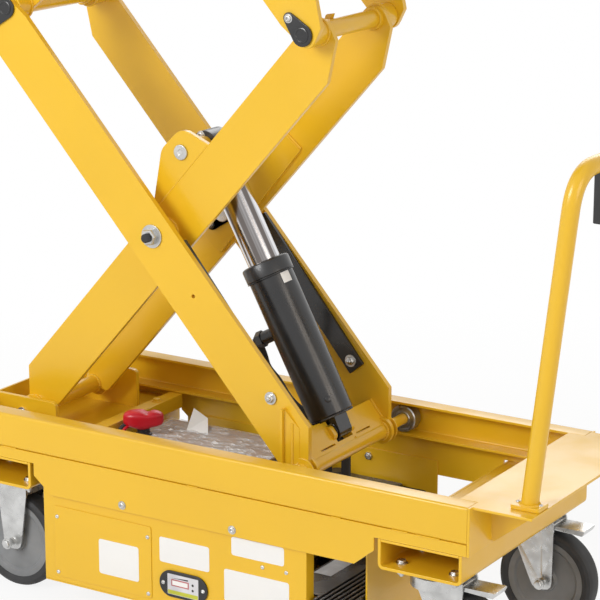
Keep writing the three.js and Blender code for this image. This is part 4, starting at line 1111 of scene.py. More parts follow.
def lift_barrel():
    body = "lift_barrel"
    half = 22

    def tube(bm):
        turned(bm, [(0, 27), (BARREL - 5, 27), (BARREL, 32), (BARREL, BARREL_TOP - 33),
                    (BARREL - 1.5, BARREL_TOP - 32), (BARREL - 1.5, BARREL_TOP - 28),
                    (0, BARREL_TOP - 28)], CYLINDER, 96)

    def gland(bm):
        turned(bm, [(ROD + 0.6, BARREL_TOP - 30), (BARREL + 2.6, BARREL_TOP - 30),
                    (BARREL + 3.4, BARREL_TOP - 28.8), (BARREL + 3.4, BARREL_TOP - 5),
                    (BARREL + 1.8, BARREL_TOP - 2), (BARREL - 3, BARREL_TOP), (ROD + 4, BARREL_TOP),
                    (ROD + 2.5, BARREL_TOP - 2), (ROD + 0.6, BARREL_TOP - 2)], CYLINDER, 96, ring=True)

    def snap_ring(bm):
        turned(bm, [(BARREL - 2, BARREL_TOP - 32.6), (BARREL + 3.6, BARREL_TOP - 32.6),
                    (BARREL + 3.6, BARREL_TOP - 30.6), (BARREL - 2, BARREL_TOP - 30.6)],
               CYLINDER, 96, ring=True)

    def lug(bm):
        outline = rounded([(-17, -17, 14), (17, -17, 14), (20, 30, 0), (-20, 30, 0)], 8)
        slab(bm, outline, -half, half, CYLINDER)

    def port(bm):
        place = along_x(CYLINDER, 0, 220)
        turned(bm, [(0, -BARREL + 2), (15, -BARREL + 2), (15, -BARREL - 5), (13.5, -BARREL - 6),
                    (13.5, -BARREL - 30), (0, -BARREL - 30)], place, 40)
        turned(bm, [(0, -BARREL - 29), (17, -BARREL - 29), (17, -BARREL - 43), (15.5, -BARREL - 44),
                    (0, -BARREL - 44)], place, 6)

    def pipe(bm):
        path = bent_path([(-94, 2, 226), (-100, 12, 196), (-117, 28, 165), (-106, 30, 131), (-103, 30, 102),
                          (-98, 34, 77), (-80, 44, 40)], 12)
        swept(bm, path, 8, 24, CYLINDER)

    def plug(bm):
        place = along_z(CYLINDER, 0, 0) @ Matrix.Rotation(math.radians(-48), 4, "Z")
        turned(bm, [(0, BARREL - 1), (6, BARREL - 1), (6, BARREL + 2.4), (4.6, BARREL + 3.2),
                    (0, BARREL + 3.2)], along_x(place, 0, 62), 24)

    def spacers(bm):
        for side in SIDES.values():
            rows = [(10.5, half), (15, half), (15, FOOT["inner"] - FIT), (10.5, FOOT["inner"] - FIT)]
            turned(bm, rows, along_y(CYLINDER) @ Matrix.Rotation(math.pi * (side < 0), 4, "X"), 36, ring=True)

    piece("cylinder_foot_spacers", BLACK, body, spacers, 0.5)
    piece("cylinder_tube", BLACK, body, tube, 0.6, ("lift_barrel",))
    piece("cylinder_gland", BLACK, body, gland, 0.5)
    piece("cylinder_snap_ring", BLACK, body, snap_ring, 0.3)
    piece("cylinder_foot_lug", BLACK, body, lug, 1.2)
    piece("cylinder_port", BLACK, body, port, 0.5)
    piece("cylinder_bleed_plug", BLACK, body, plug, 0.3)
    piece("cylinder_pipe", HOSE, body, pipe, 0)
    beads("cylinder_welds", body, [circle_z(0, 0, 28.5, BARREL - 4)], 2.6, BLACK, CYLINDER)
    piece("cylinder_sticker", WHITE, body, lambda bm: wrapped_plate(
        bm, CYLINDER, BARREL + 0.15, math.radians(-17), 21, (BARREL_TOP - 55, BARREL_TOP - 34)), 0)
    fasteners("cylinder_foot_screw", "socket_screw", body, [((3, -half, 8), (0, -1, 0))], place=CYLINDER)


def circle_z(x, y, z, radius, steps=48):
    return [(x + radius * math.cos(2 * math.pi * i / steps),
             y + radius * math.sin(2 * math.pi * i / steps), z)
            for i in range(steps + 1)]


def wrapped_plate(bm, place, radius, facing, width, heights):
    """A thin label that lies round a tube."""
    half = width / radius / 2
    steps = 10
    outer = [(facing - half + 2 * half * i / steps) for i in range(steps + 1)]
    outline = [((radius + 0.35) * math.cos(a), (radius + 0.35) * math.sin(a)) for a in outer]
    outline += [(radius * math.cos(a), radius * math.sin(a)) for a in reversed(outer)]
    slab(bm, outline, *heights, place, "Z")


def lift_rod():
    body = "lift_rod"

    def rod(bm):
        bar(bm, ROD, 252, EYE_REACH - 62, CYLINDER, 96)

    def eye(bm):
        bar(bm, 29, -26, 26, along_y(CYLINDER, 0, EYE_REACH), 48)
        block(bm, (-23, 23), (-26, 26), (EYE_REACH - 63, EYE_REACH), CYLINDER)

    def wiper(bm):
        turned(bm, [(ROD + 0.2, BARREL_TOP - 1.8), (ROD + 4.4, BARREL_TOP - 1.8),
                    (ROD + 3.8, BARREL_TOP - 0.1), (ROD + 0.2, BARREL_TOP - 0.1)],
               CYLINDER, 64, ring=True)
    piece("chromed_rod", CHROME, body, rod, 0.8, ("lift_rod",))
    piece("rod_eye", BLACK, body, eye, 1.0)
    piece("rod_wiper", HOSE, "lift_barrel", wiper, 0.2)

    def barrel_pin(bm):
        reach = FOOT["inner"] + FOOT["lug"] - 4
        bar(bm, 10, -reach, reach, along_y(CYLINDER), 32)
    piece("barrel_pin_dressed", ZINC, "lower_outer_arms", barrel_pin, 1.0, ("barrel_pin",))

    fasteners("rod_eye_screw", "socket_screw", body, [((2, -26, EYE_REACH + 21), (0, -1, 0))], place=CYLINDER)
    sleeve = [(0, 26.5), (19, 26.5), (19, 87.7), (14, 87.7), (0, 87.7)]
    end = [(0, 87), (14, 87.7), (14, INNER_FACE + FIT), (15, INNER_FACE + FIT), (15, INNER_FACE + 3.4),
           (14, INNER_FACE + 4.2), (6, INNER_FACE + 4.2), (5, INNER_FACE + 3), (0, INNER_FACE + 3)]
    for label, side in SIDES.items():
        turn = along_y(Matrix.Translation(EYE)) @ Matrix.Rotation(math.pi * (side < 0), 4, "X")
        piece(f"ear_pin_{label}_sleeve", YELLOW, "lower_inner_arms",
              lambda bm, turn=turn: turned(bm, sleeve, turn, 48), 0.3, (f"ear_pin_{label}",))
        piece(f"ear_pin_{label}_end", ZINC, "lower_inner_arms",
              lambda bm, turn=turn: turned(bm, end, turn, 48), 0.3)
    keeper()


def keeper():
    """Black teardrop keeper plate over the far end of the lower centre pin."""
    back = INNER_BACK - DOUBLER["wall"] - FIT
    tip = -34
    tear = arc((0, 0), 22, -math.pi / 2 - 0.2, math.pi / 2 + 0.2) + arc((tip, 2), 13, math.pi / 2 + 0.2,
                                                                       1.5 * math.pi - 0.2)
    piece("cross_keeper", BLACK, "lower_inner_arms",
          lambda bm: slab(bm, tear, back - 7, back, LOWER_INNER), 0.8)
    screw = [((tip - 3, back - 7, 2), (0, -1, 0))]
    fasteners("cross_keeper_screw", "socket_screw", "lower_inner_arms", screw, place=LOWER_INNER)


# ---- base frame ----------------------------------------------------------------------------
RAIL_END = span("rail_near", 0)[1]
RAIL_LOW, RAIL_TOP = span("rail_near", 2)
HALF_WIDTH = -span("rail_near", 1)[0]


def rails():
    """Folded channel rails, open towards the middle."""
    out, flange, wall = HALF_WIDTH, RAIL_FLANGE, RAIL_WALL
    for label, side in SIDES.items():
        section = rounded([
            (side * out, RAIL_LOW, 6), (side * out, RAIL_TOP, 6), (side * (out - flange), RAIL_TOP, 0.5),
            (side * (out - flange), RAIL_TOP - wall, 0.5), (side * (out - wall), RAIL_TOP - wall, 3),
            (side * (out - wall), RAIL_LOW + wall, 3), (side * (out - flange), RAIL_LOW + wall, 0.5),
            (side * (out - flange), RAIL_LOW, 0.5)])
        node = f"rail_{label}"
        piece(node + "_dressed", YELLOW, "base",
              lambda bm, section=section: slab(bm, section, -RAIL_END, RAIL_END, BASE, "X"), 0.6, (node,))


def castor_channels():
    """Deep folded channels that carry the castors, closed by a plate on top."""
    for label in ("front", "rear"):
        node = f"castor_channel_{label}"
        x0, x1 = span(node, 0)
        z0, z1 = span(node, 2)
        wall = 6
        section = rounded([
            (x0, z1, 0), (x0, z0, 13), (x1, z0, 13), (x1, z1, 0), (x1 - wall, z1, 0),
            (x1 - wall, z0 + wall, 7), (x0 + wall, z0 + wall, 7), (x0 + wall, z1, 0)], 8)
        reach = HALF_WIDTH

        def channel(bm, section=section):
            slab(bm, section, -reach, reach)

        def lid(bm, x0=x0, x1=x1, z1=z1):
            block(bm, (x0 + wall + 0.2, x1 - wall - 0.2), (-reach, reach), (z1 - 5, z1))
        piece(node + "_dressed", YELLOW, "base", channel, 0.9, (node,))
        piece(node + "_lid", YELLOW, "base", lid)
        bolts = []
        nuts = []
        for side in SIDES.values():
            for dx in (-55, 55):
                for dy in (-40, 40):
                    x, y = (x0 + x1) / 2 + dx, side * CASTOR_Y + dy
                    bolts.append(((x, y, z0 + wall + 1), (0, 0, 1)))
                    nuts.append(((x, y, z0 - FIT - 7), (0, 0, -1)))
        fasteners(node + "_bolts", "hex_bolt", "base", bolts)
        fasteners(node + "_nuts", "hex_nut", "base", nuts)


CASTOR_Y = (span("castor_plate_far", 1)[0] + span("castor_plate_far", 1)[1]) / 2


def base_frame():
    rails()
    castor_channels()
    for node in ("handle_shelf", "hinge_bracket"):
        dressed(node, YELLOW, "base", 0.9)
    for node in ("side_skirt_near", "side_skirt_far"):
        dressed(node, YELLOW, "base", 0.9, HALF_WIDTH)
    face = HALF_WIDTH
    lines = []
    for side in SIDES.values():
        y = side * (face - 0.6)
        for start, length in ((428, 34), (478, 52), (-560, 60), (-470, 40), (-20, 26), (300, 24)):
            lines.append([(start + step, y, RAIL_LOW - 0.2) for step in range(0, length, 4)])
    beads("rail_welds", "base", lines, 1.6)
    front = RAIL_END + 6
    under = [[(front + 1, y + step, RAIL_TOP - 6) for step in range(0, 44, 5)] for y in (-205, -100, 60, 170)]
    beads("shelf_welds", "base", under, 4.0)
    bolt_spots = (-174, 82)
    bolts = []
    for side in SIDES.values():
        bolts += [((x, side * (face + 0.3), 250), (0, side, 0)) for x in bolt_spots]
    fasteners("skirt_bolts", "socket_screw", "base", bolts)
    inside = [((x, face - 7.5, 251), (0, -1, 0)) for x in reversed(bolt_spots)]
    fasteners("skirt_nuts", "hex_nut", "base", inside)
    hinge_x = (HINGE.x - FRAME_MIDDLE) / MM
    beam = [((hinge_x + 125, y, RAIL_LOW), (0, 0, 1)) for y in (-150, 150)]
    fasteners("beam_bolts", "hex_bolt", "base", beam, YELLOW)
    pins = []
    for side in SIDES.values():
        pins.append(((hinge_x, side * 148, HINGE.z / MM), (0, side, 0)))
    fasteners("hinge_pin_heads", "hex_bolt", "base", pins)


# ---- power box -----------------------------------------------------------------------------
PANEL_FACE = span("near_panel", 1)[0]


def power_box():
    for node in ("near_panel", "box_pan", "service_cover"):
        dressed(node, YELLOW, "base", 0.7)
    cover_rear, cover_front = span("service_cover", 0)
    cover_low, cover_top = span("service_cover", 2)
    face = PANEL_FACE - FIT - 1.5
    out = (0, -1, 0)
    screws = [((x, face, z), out) for x in (cover_rear + 7, cover_front - 8)
              for z in (cover_low + 9, cover_top - 22)]
    fasteners("cover_screws", "small_screw", "base", screws)
    panel_bolts = [((146, PANEL_FACE, 186), out), ((199, PANEL_FACE, 186), out),
                   ((146, PANEL_FACE, 72), out), ((222, PANEL_FACE, 72), out)]
    fasteners("panel_bolts", "small_screw", "base", panel_bolts)
    for i, (x, z) in enumerate((((-236, -140), (96, 168)), ((-91, 25), (150, 201)),
                                ((76, 194), (197, 234)), ((59, 205), (100, 166)))):
        back = face if x[0] < cover_front - 30 and i == 0 else PANEL_FACE
        outline = rectangle(x, z, 6)
        piece(f"blank_sticker_{i + 1}", WHITE, "base",
              lambda bm, outline=outline, back=back: slab(bm, outline, back - 0.35, back - 0.05), 0)
    far_face = -PANEL_FACE
    slot = rectangle((140, 219), (186, 200), 7)
    piece("far_cable_slot", PLASTIC, "base",
          lambda bm: slab(bm, slot, far_face - 4.4, far_face - 3.2), 0.3)
    battery_gauge()
    battery()
    pump()
    charger()


def battery_gauge():
    """Round-ended bezel with a small display, two keys and a strip."""
    x0, x1 = span("gauge_bezel", 0)
    z0, z1 = span("gauge_bezel", 2)
    y0, y1 = span("gauge_bezel", 1)
    half = (z1 - z0) / 2
    middle = (z0 + z1) / 2
    outline = arc((x1 - half, middle), half, -math.pi / 2, math.pi / 2, 24)
    outline += arc((x0 + half, middle), half, math.pi / 2, 1.5 * math.pi, 24)
    piece("gauge_bezel_dressed", PLASTIC, "base", lambda bm: slab(bm, outline, y0 + 0.8, y1), 1.4,
          ("gauge_bezel",))
    window = rectangle((x0 + 20, x1 - 20), (z0 + 6, z1 - 6), 1.5)
    piece("gauge_window", LCD, "base", lambda bm: slab(bm, window, y0 + 0.4, y0 + 1.2), 0.2)
    left, right = x0 + 29, x1 - 42
    frame_outer = rectangle((left, right), (middle - 3, middle + 11), 0.6)
    screen = rectangle((left + 2.5, right - 2.5), (middle - 0.5, middle + 8.5), 0.3)
    piece("gauge_screen_frame", LCD_RED, "base", lambda bm: slab(bm, frame_outer, y0 + 0.2, y0 + 0.7), 0)
    piece("gauge_screen", WHITE, "base", lambda bm: slab(bm, screen, y0 + 0.05, y0 + 0.5), 0)
    strip = rectangle((x0 + 21, x1 - 21), (z0 + 7, z0 + 15), 0.4)
    piece("gauge_strip", LIME, "base", lambda bm: slab(bm, strip, y0 + 0.2, y0 + 0.7), 0)

    def keys(bm):
        for z in (middle + 7, middle - 4):
            turned(bm, [(0, -1), (3.1, -1), (3.1, 0.2), (2.4, 0.7), (0, 0.7)],
                   Matrix.Translation(BASE @ Vector(((x1 - 33) * MM, (y0 + 0.9) * MM, z * MM))) @
                   Matrix.Rotation(math.pi / 2, 4, "X"), 20)
    piece("gauge_keys", PLASTIC, "base", keys, 0)
    level = [(left + 1, middle + 13), (right - 2, middle + 13), (right - 2, middle + 16)]
    piece("gauge_level_mark", PLASTIC, "base", lambda bm: slab(bm, level, y0 + 0.2, y0 + 0.6), 0)
    spots = [((x, y0 + 1.2, middle), (0, -1, 0)) for x in (x0 + 9.5, x1 - 9.5)]
    fasteners("gauge_screws", "small_screw", "base", spots)


def battery():
    x0, x1 = span("battery", 0)
    y0, y1 = span("battery", 1)
    z0, z1 = span("battery", 2)

    def case(bm):
        slab(bm, rectangle((x0, x1), (y0, y1), 8), z0, z1 - 34, BASE, "Z")
        slab(bm, rectangle((x0, x1), (y0, y1), 8), z1 - 32, z1 - 8, BASE, "Z")
        slab(bm, rectangle((x0 + 6, x1 - 6), (y0 + 6, y1 - 6), 6), z1 - 35, z1 - 3, BASE, "Z")

    def board(bm):
        slab(bm, rectangle((x0 + 14, x1 - 3), (y0 + 34, y1 - 6), 3), z1 - 3.4, z1 - 1.6, BASE, "Z")

    def label(bm):
        corners = [(-262, 87, 0.4), (-208, 88, 0.4), (-250, 149, 12.5), (-285, 149, 29)]
        put(bm, [(x, y, z1 + z + t) for t in (0, 0.5) for x, y, z in corners],
            [(0, 1, 2, 3), (4, 5, 6, 7), (0, 1, 5, 4), (1, 2, 6, 5), (2, 3, 7, 6), (3, 0, 4, 7)], BASE)

    def posts(bm):
        for x in (x0 + 45, x1 - 40):
            place = along_z(BASE, x, y0 + 22)
            turned(bm, [(0, z1 - 4), (11, z1 - 4), (11, z1 - 1.5), (7, z1 - 1), (7, z1 - 0.2), (0, z1 - 0.2)],
                   place, 28)
    piece("battery_case", GREY, "base", case, 2.0, ("battery",))
    piece("battery_board", BOARD, "base", board, 0.4)
    piece("battery_blank_label", WHITE, "base", label, 0)
    piece("battery_posts", STEEL, "base", posts, 0.3)
    battery_film(x0, x1, y0, y1, z1)
    terminal_boot()


def battery_film(x0, x1, y0, y1, top):
    """Crumpled clear film laid over the battery."""
    random.seed(7)
    columns, rows = 90, 60
    folds = [(random.uniform(0, math.pi), random.uniform(0, 6.3),
              random.uniform(18, 46), random.uniform(0.5, 1.5)) for _ in range(9)]

    def film(bm):
        grid = []
        for i in range(columns + 1):
            x = x0 + 4 + (x1 - x0 - 8) * i / columns
            line = []
            for j in range(rows + 1):
                y = y0 + 3 + (y1 - y0 - 6) * j / rows
                rise = 0
                for turn, phase, pitch, height in folds:
                    wave = math.sin((x * math.cos(turn) + y * math.sin(turn)) * 2 * math.pi / pitch + phase)
                    rise += height * max(0.0, wave) ** 6
                edge = min(1.0, min(i, columns - i, j, rows - j) / 6)
                line.append(bm.verts.new(BASE @ Vector((x * MM, y * MM, (top + 0.2 + rise * edge) * MM))))
            grid.append(line)
        for a, b in zip(grid, grid[1:]):
            for j in range(rows):
                bm.faces.new((a[j], b[j], b[j + 1], a[j + 1]))
    bm = bmesh.new()
    film(bm)
    mesh = bpy.data.meshes.new("battery_film")
    bm.to_mesh(mesh)
    bm.free()
    mesh.shade_smooth()
    sheet = shown("battery_film", mesh, FILM, "base")
    wall = sheet.modifiers.new("thickness", "SOLIDIFY")
    wall.thickness = 0.15 * MM
    wall.offset = 1


def terminal_boot():
    """Soft red boot with two lobes over a stepped neck, and the leads that leave it."""
    z0, z1 = span("terminal_cover", 2)
    x0, x1 = span("terminal_cover", 0)
    y0, y1 = span("terminal_cover", 1)
    place = BASE @ Matrix.Translation(((x0 + x1) / 2 * MM, (y0 + y1) / 2 * MM, 0)) @ \
        Matrix.Rotation(math.radians(32), 4, "Z")
    bm = bmesh.new()
    bmesh.ops.create_uvsphere(bm, u_segments=64, v_segments=32, radius=1)
    low, high = z0 + 20, z1
    for vertex in bm.verts:
        x, y, z = [math.copysign(abs(v) ** 0.62, v) for v in vertex.co]
        lobes = 1 - 0.34 * math.exp(-((x - 0.22) / 0.16) ** 2) * max(0.0, z) ** 0.5
        droop = -0.30 * math.exp(-((x + 0.05) / 0.38) ** 2) * max(0.0, -z)
        taper = 0.86 + 0.14 * math.cos(2.4 * x + 0.7)
        vertex.co = place @ Vector((x * 42 * MM, y * 22 * taper * MM, (
            (low + high) / 2 + (z * lobes + droop) * (high - low) / 2) * MM))
    mesh = bpy.data.meshes.new("terminal_boot")
    bm.to_mesh(mesh)
    bm.free()
    mesh.shade_smooth()
    shown("terminal_boot", mesh, RED, "base", ("terminal_cover",))

    def neck(bm):
        turned(bm, [(0, z0), (17, z0), (17, z0 + 6), (13, z0 + 8), (13, z0 + 26), (0, z0 + 26)], place, 32)
    piece("terminal_neck", PLASTIC, "base", neck, 0.4)
    lead = bent_path([(-30, -4, low + 8), (-46, -12, low + 2), (-50, -22, low - 18)], 9)
    piece("battery_lead", HOSE, "base", lambda bm: swept(bm, lead, 4.5, 18, place), 0)
    other = bent_path([(-28, -8, low + 4), (-40, -20, low), (-42, -28, low - 16)], 8)
    piece("battery_red_lead", RED, "base", lambda bm: swept(bm, other, 3.4, 16, place), 0)


def pump():
    y0, y1 = span("pump_unit", 1)
    z0 = span("pump_unit", 2)[0]
    axis_x = 62
    axis_z = 150
    end = y1 - 49

    def motor(bm):
        turned(bm, [(0, y0), (50, y0), (55, y0 + 3), (57, y0 + 6), (57, y0 + 12), (55.6, y0 + 13),
                    (55.6, end - 16), (57, end - 15), (57, end), (0, end)], along_y(BASE, axis_x, axis_z), 72)

    def studs(bm):
        for dx in (-18, 18):
            bar(bm, 5, y0 + 36, y0 + 37, along_y(BASE, axis_x + dx, axis_z), 12)
            turned(bm, [(0, 190), (8, 190), (8, 215), (5, 216), (5, 224), (0, 224)],
                   along_z(BASE, axis_x + dx, y0 + 30), 20)

    def valves(bm):
        block(bm, (axis_x - 48, axis_x + 48), (end, y1), (axis_z - 50, axis_z + 62))

    def coil(bm):
        turned(bm, [(0, axis_z + 61), (17, axis_z + 61), (17, axis_z + 96), (8, axis_z + 98),
                    (8, axis_z + 106), (0, axis_z + 106)], along_z(BASE, axis_x - 22, end + 24), 40)

    def foot(bm):
        block(bm, (axis_x - 34, axis_x + 34), (y0 + 15, end - 15), (z0, axis_z - 40))

    def return_port(bm):
        hose_x, hose_y = span("hydraulic_hose", 0)[1], span("hydraulic_hose", 1)
        top = span("hydraulic_hose", 2)[0]
        block(bm, (axis_x + 47, hose_x + 4), (hose_y[0] - 4, hose_y[1] + 4), (top - 35, top - 0.2))
    piece("pump_return_port", CAST, "base", return_port, 1.0)
    piece("pump_motor", BLACK, "base", motor, 0.6, ("pump_unit",))
    piece("pump_studs", PLASTIC, "base", studs, 0.3)
    piece("pump_valve_block", CAST, "base", valves, 1.5)
    piece("pump_solenoid", PLASTIC, "base", coil, 0.8)
    piece("pump_foot", BLACK, "base", foot, 1.0)
    plugs = [((axis_x + dx, end + 26, axis_z + 62), (0, 0, 1)) for dx in (2,)]
    plugs += [((axis_x - 48, end + 25, axis_z + dz), (-1, 0, 0)) for dz in (-24, 4, 34)]
    plugs += [((axis_x + 48, end + 25, axis_z + dz), (1, 0, 0)) for dz in (-20, 20)]
    fasteners("valve_plugs", "hex_bolt", "base", plugs)
    tank()
    hose()


def tank():
    x0, x1 = span("oil_tank", 0)
    y0, y1 = span("oil_tank", 1)
    z0, z1 = span("oil_tank", 2)
    outline = rectangle((x0, x1), (y0, y1), 12)
    piece("oil_tank_dressed", BLACK, "base", lambda bm: slab(bm, outline, z0, z1 - 12, BASE, "Z"), 4.0,
          ("oil_tank",))

    def cap(bm):
        place = along_z(BASE, x0 + 30, y1 - 32)
        turned(bm, [(0, z1 - 14), (13, z1 - 14), (13, z1 - 8), (17, z1 - 7), (17, z1 - 1.5),
                    (15, z1), (0, z1)], place, 32)
    piece("tank_filler_cap", PLASTIC, "base", cap, 0.6)


def hose():
    """Rubber hose with crimped ferrules: up from the valves, over, and down to the return port."""
    x0, x1 = span("hydraulic_hose", 0)
    y0, y1 = span("hydraulic_hose", 1)
    z0, z1 = span("hydraulic_hose", 2)
    radius = (y1 - y0) / 2
    y = (y0 + y1) / 2
    left, right, top = x0 + radius, x1 - radius, z1 - radius
    reach = (right - left) / 2
    start = z0
    path = [(left, y, start), (left, y, start + 12), (left, y, top - reach)]
    steps = 28
    for i in range(1, steps):
        angle = math.pi - math.pi * i / steps
        path.append((left + reach + reach * math.cos(angle), y, top - reach + reach * math.sin(angle)))
    path += [(right, y, top - reach), (right, y, 250), (right, y, start)]
    piece("hydraulic_hose_dressed", HOSE, "base", lambda bm: swept(bm, path, radius - 0.4, 28), 0.3,
          ("hydraulic_hose",))

    def ferrule(bm, x, low, high):
        rows = [(radius - 0.6, low), (radius + 1.6, low), (radius + 1.6, low + 3), (radius + 0.9, low + 4)]
        rows += [(radius + 1.8, low + 7), (radius + 0.9, high - 4)]
        rows += [(radius + 1.6, high - 3), (radius + 1.6, high)]
        rows += [(radius - 0.6, high)]
        turned(bm, rows, along_z(BASE, x, y), 28, ring=True)
    piece("hose_ferrules", ZINC, "base",
          lambda bm: [ferrule(bm, leg, start + 1, start + 19) for leg in (left, right)], 0.2)


def charger():
    """Finned charger case on the bent bracket that carries it."""
    x0, x1 = span("charger", 0)
    y0, y1 = span("charger", 1)
    z0, z1 = span("charger", 2)
    count = 7
    pitch = (x1 - x0) / count
    piece("charger_case", BLACK, "base",
          lambda bm: block(bm, (x0 + 1, x1 - 1), (y0 + 1.5, y1 - 1.5), (z0 + 12, z1 - 9)), 1.5, ("charger",))
    fin = template("charger_fin", lambda bm: block(
        bm, (x0 + pitch * 0.24, x0 + pitch * 0.76), (y0, y1), (z0, z1)), 0.9)
    settings = {"Piece": fin, "Count": count, "Step": (pitch * MM, 0, 0), "Finish": BLACK.material}
    grown("charger_fins", ROW, bpy.data.meshes.new("fin_seed"), settings, BLACK, "base")
    piece("charger_lid", BLACK, "base",
          lambda bm: block(bm, (x0 - 74, x0 + 2), (-222, 84), (z1 - 6, z1 - 2)), 0.8)
    piece("charger_label", CAST, "base",
          lambda bm: block(bm, (x0 - 68, x0 - 30), (-128, -48), (z1 - 2, z1 - 1.6)), 0)
    dressed("charger_bracket", YELLOW, "base", 0.8)


# ---- castors -------------------------------------------------------------------------------
def castor_wheel(node, axle_x, side):
    """Solid tyre on a nylon hub, with a steel bush."""
    half = WHEEL_WIDTH / 2
    centre = side * CASTOR_Y
    place = along_y(BASE, axle_x, WHEEL)
    rim = 80
    tread = [(rim, centre - half + 4), (rim + 4, centre - half + 2), (WHEEL - 9, centre - half + 1),
             (WHEEL - 3, centre - half + 4), (WHEEL - 0.6, centre - half + 9), (WHEEL, centre - 8),
             (WHEEL, centre + 8), (WHEEL - 0.6, centre + half - 9), (WHEEL - 3, centre + half - 4),
             (WHEEL - 9, centre + half - 1), (rim + 4, centre + half - 2), (rim, centre + half - 4)]
    piece(node + "_tyre", TYRE, node, lambda bm: turned(bm, tread, place, 96, ring=True), 0, (node,))
    bush = AXLE + 4
    hub = [(bush, centre - half), (bush + 11, centre - half), (bush + 13, centre - half + 7),
           (64, centre - half + 9), (68, centre - half + 5), (rim + 0.2, centre - half + 4.5),
           (rim + 0.2, centre + half - 4.5), (68, centre + half - 5), (64, centre + half - 9),
           (bush + 13, centre + half - 7), (bush + 11, centre + half), (bush, centre + half)]
    piece(node + "_hub", HUB, node, lambda bm: turned(bm, hub, place, 72, ring=True), 0.8)
    sleeve = [(AXLE + FIT, centre - half - 0.4), (bush, centre - half - 0.4),
              (bush, centre + half + 0.4), (AXLE + FIT, centre + half + 0.4)]
    piece(node + "_bush", STEEL, node, lambda bm: turned(bm, sleeve, place, 40, ring=True), 0.3)


def castors():
    for label, side in SIDES.items():
        front = f"castor_fork_{label}"
        dressed(f"castor_plate_{label}", ZINC, "base", 1.0)
        dressed(front, ZINC, front, 1.2)
        dressed(f"fixed_fork_{label}", ZINC, "base", 1.2)
        dressed(f"brake_pedal_{label}", ZINC, f"brake_pedal_{label}", 1.0)
        x0, x1 = span(f"front_wheel_{label}", 0)
        castor_wheel(f"front_wheel_{label}", (x0 + x1) / 2, side)
        axle_nuts(front, front, (x0 + x1) / 2, side)
        x0, x1 = span(f"rear_wheel_{label}", 0)
        castor_wheel(f"rear_wheel_{label}", (x0 + x1) / 2, side)
        axle_nuts(f"fixed_fork_{label}", "base", (x0 + x1) / 2, side)


def axle_nuts(name, body, x, side):
    """Nut on the outer end of an axle and a bolt head on the inner end."""
    y0, y1 = span(name, 1)
    spots = [((x, y0 + 5.5, WHEEL), (0, -1, 0)), ((x, y1 - 5.5, WHEEL), (0, 1, 0))]
    fasteners(name + "_axle_nuts", "hex_bolt", body, spots)


# ---- platform ------------------------------------------------------------------------------
def deck():
    dressed("platform", YELLOW, "platform", 1.0)
    hinge_x = (TOP_HINGE.x - FRAME_MIDDLE) / MM
    z = TOP_HINGE.z / MM
    spots = [((hinge_x, side * 148, z), (0, side, 0)) for side in SIDES.values()]
    fasteners("deck_pin_heads", "hex_bolt", "platform", spots)
    low = span("platform", 2)[0] + 0.4
    lines = []
    for side in SIDES.values():
        for x in (-480, -300, -100, 100, 300, 480):
            lines.append([(x + step, side * (HALF_WIDTH - 8), low - 0.4) for step in range(0, 40, 5)])
    beads("deck_welds", "platform", lines, 1.8)


# ---- handle and controls -------------------------------------------------------------------
HANDLE_RADIUS = 16
HANDLE_BEND = 70
HANDLE_X = 672
HANDLE_LEAN = 70
HANDLE_Y = 200


def push_handle():
    """Bent tube on two welded feet."""
    top = span("handle", 2)[1] - HANDLE_RADIUS
    foot = RAIL_TOP + FIT + 1
    head = Vector((HANDLE_X + HANDLE_LEAN, 0, top))
    heel = Vector((HANDLE_X, 0, foot))
    shoulder = head - (head - heel).normalized() * HANDLE_BEND
    corners = []
    for side in (-1, 1):
        y = side * HANDLE_Y
        leg = [(heel.x, y, heel.z), (shoulder.x, y, shoulder.z)]
        bend = []
        for k in range(1, 17):
            t = k / 16
            middle = 2 * t * (1 - t)
            spot = shoulder * (1 - t) ** 2 + head * (middle + t ** 2)
            across = y * ((1 - t) ** 2 + middle) + (y - side * HANDLE_BEND) * t ** 2
            bend.append((spot.x, across, spot.z))
        corners += leg + bend if side < 0 else [*reversed(bend), *reversed(leg)]
    piece("handle_tube", YELLOW, "base", lambda bm: swept(bm, corners, HANDLE_RADIUS, 40), 0, ("handle",))

    def feet(bm):
        for side in (-1, 1):
            y = side * HANDLE_Y
            outline = rectangle((HANDLE_X - 28, HANDLE_X + 28), (y - 21, y + 21), 5)
            slab(bm, outline, RAIL_TOP + FIT, RAIL_TOP + 8, BASE, "Z")
    piece("handle_feet", YELLOW, "base", feet, 0.8)
    bolts = [((HANDLE_X + dx, side * HANDLE_Y, RAIL_TOP + 8), (0, 0, 1))
             for side in (-1, 1) for dx in (-22, 22)]
    fasteners("handle_foot_bolts", "small_screw", "base", bolts)
    rings = [circle_z(HANDLE_X + 1, side * HANDLE_Y, RAIL_TOP + 8, HANDLE_RADIUS + 1) for side in (-1, 1)]
    beads("handle_welds", "base", rings, 2.4)


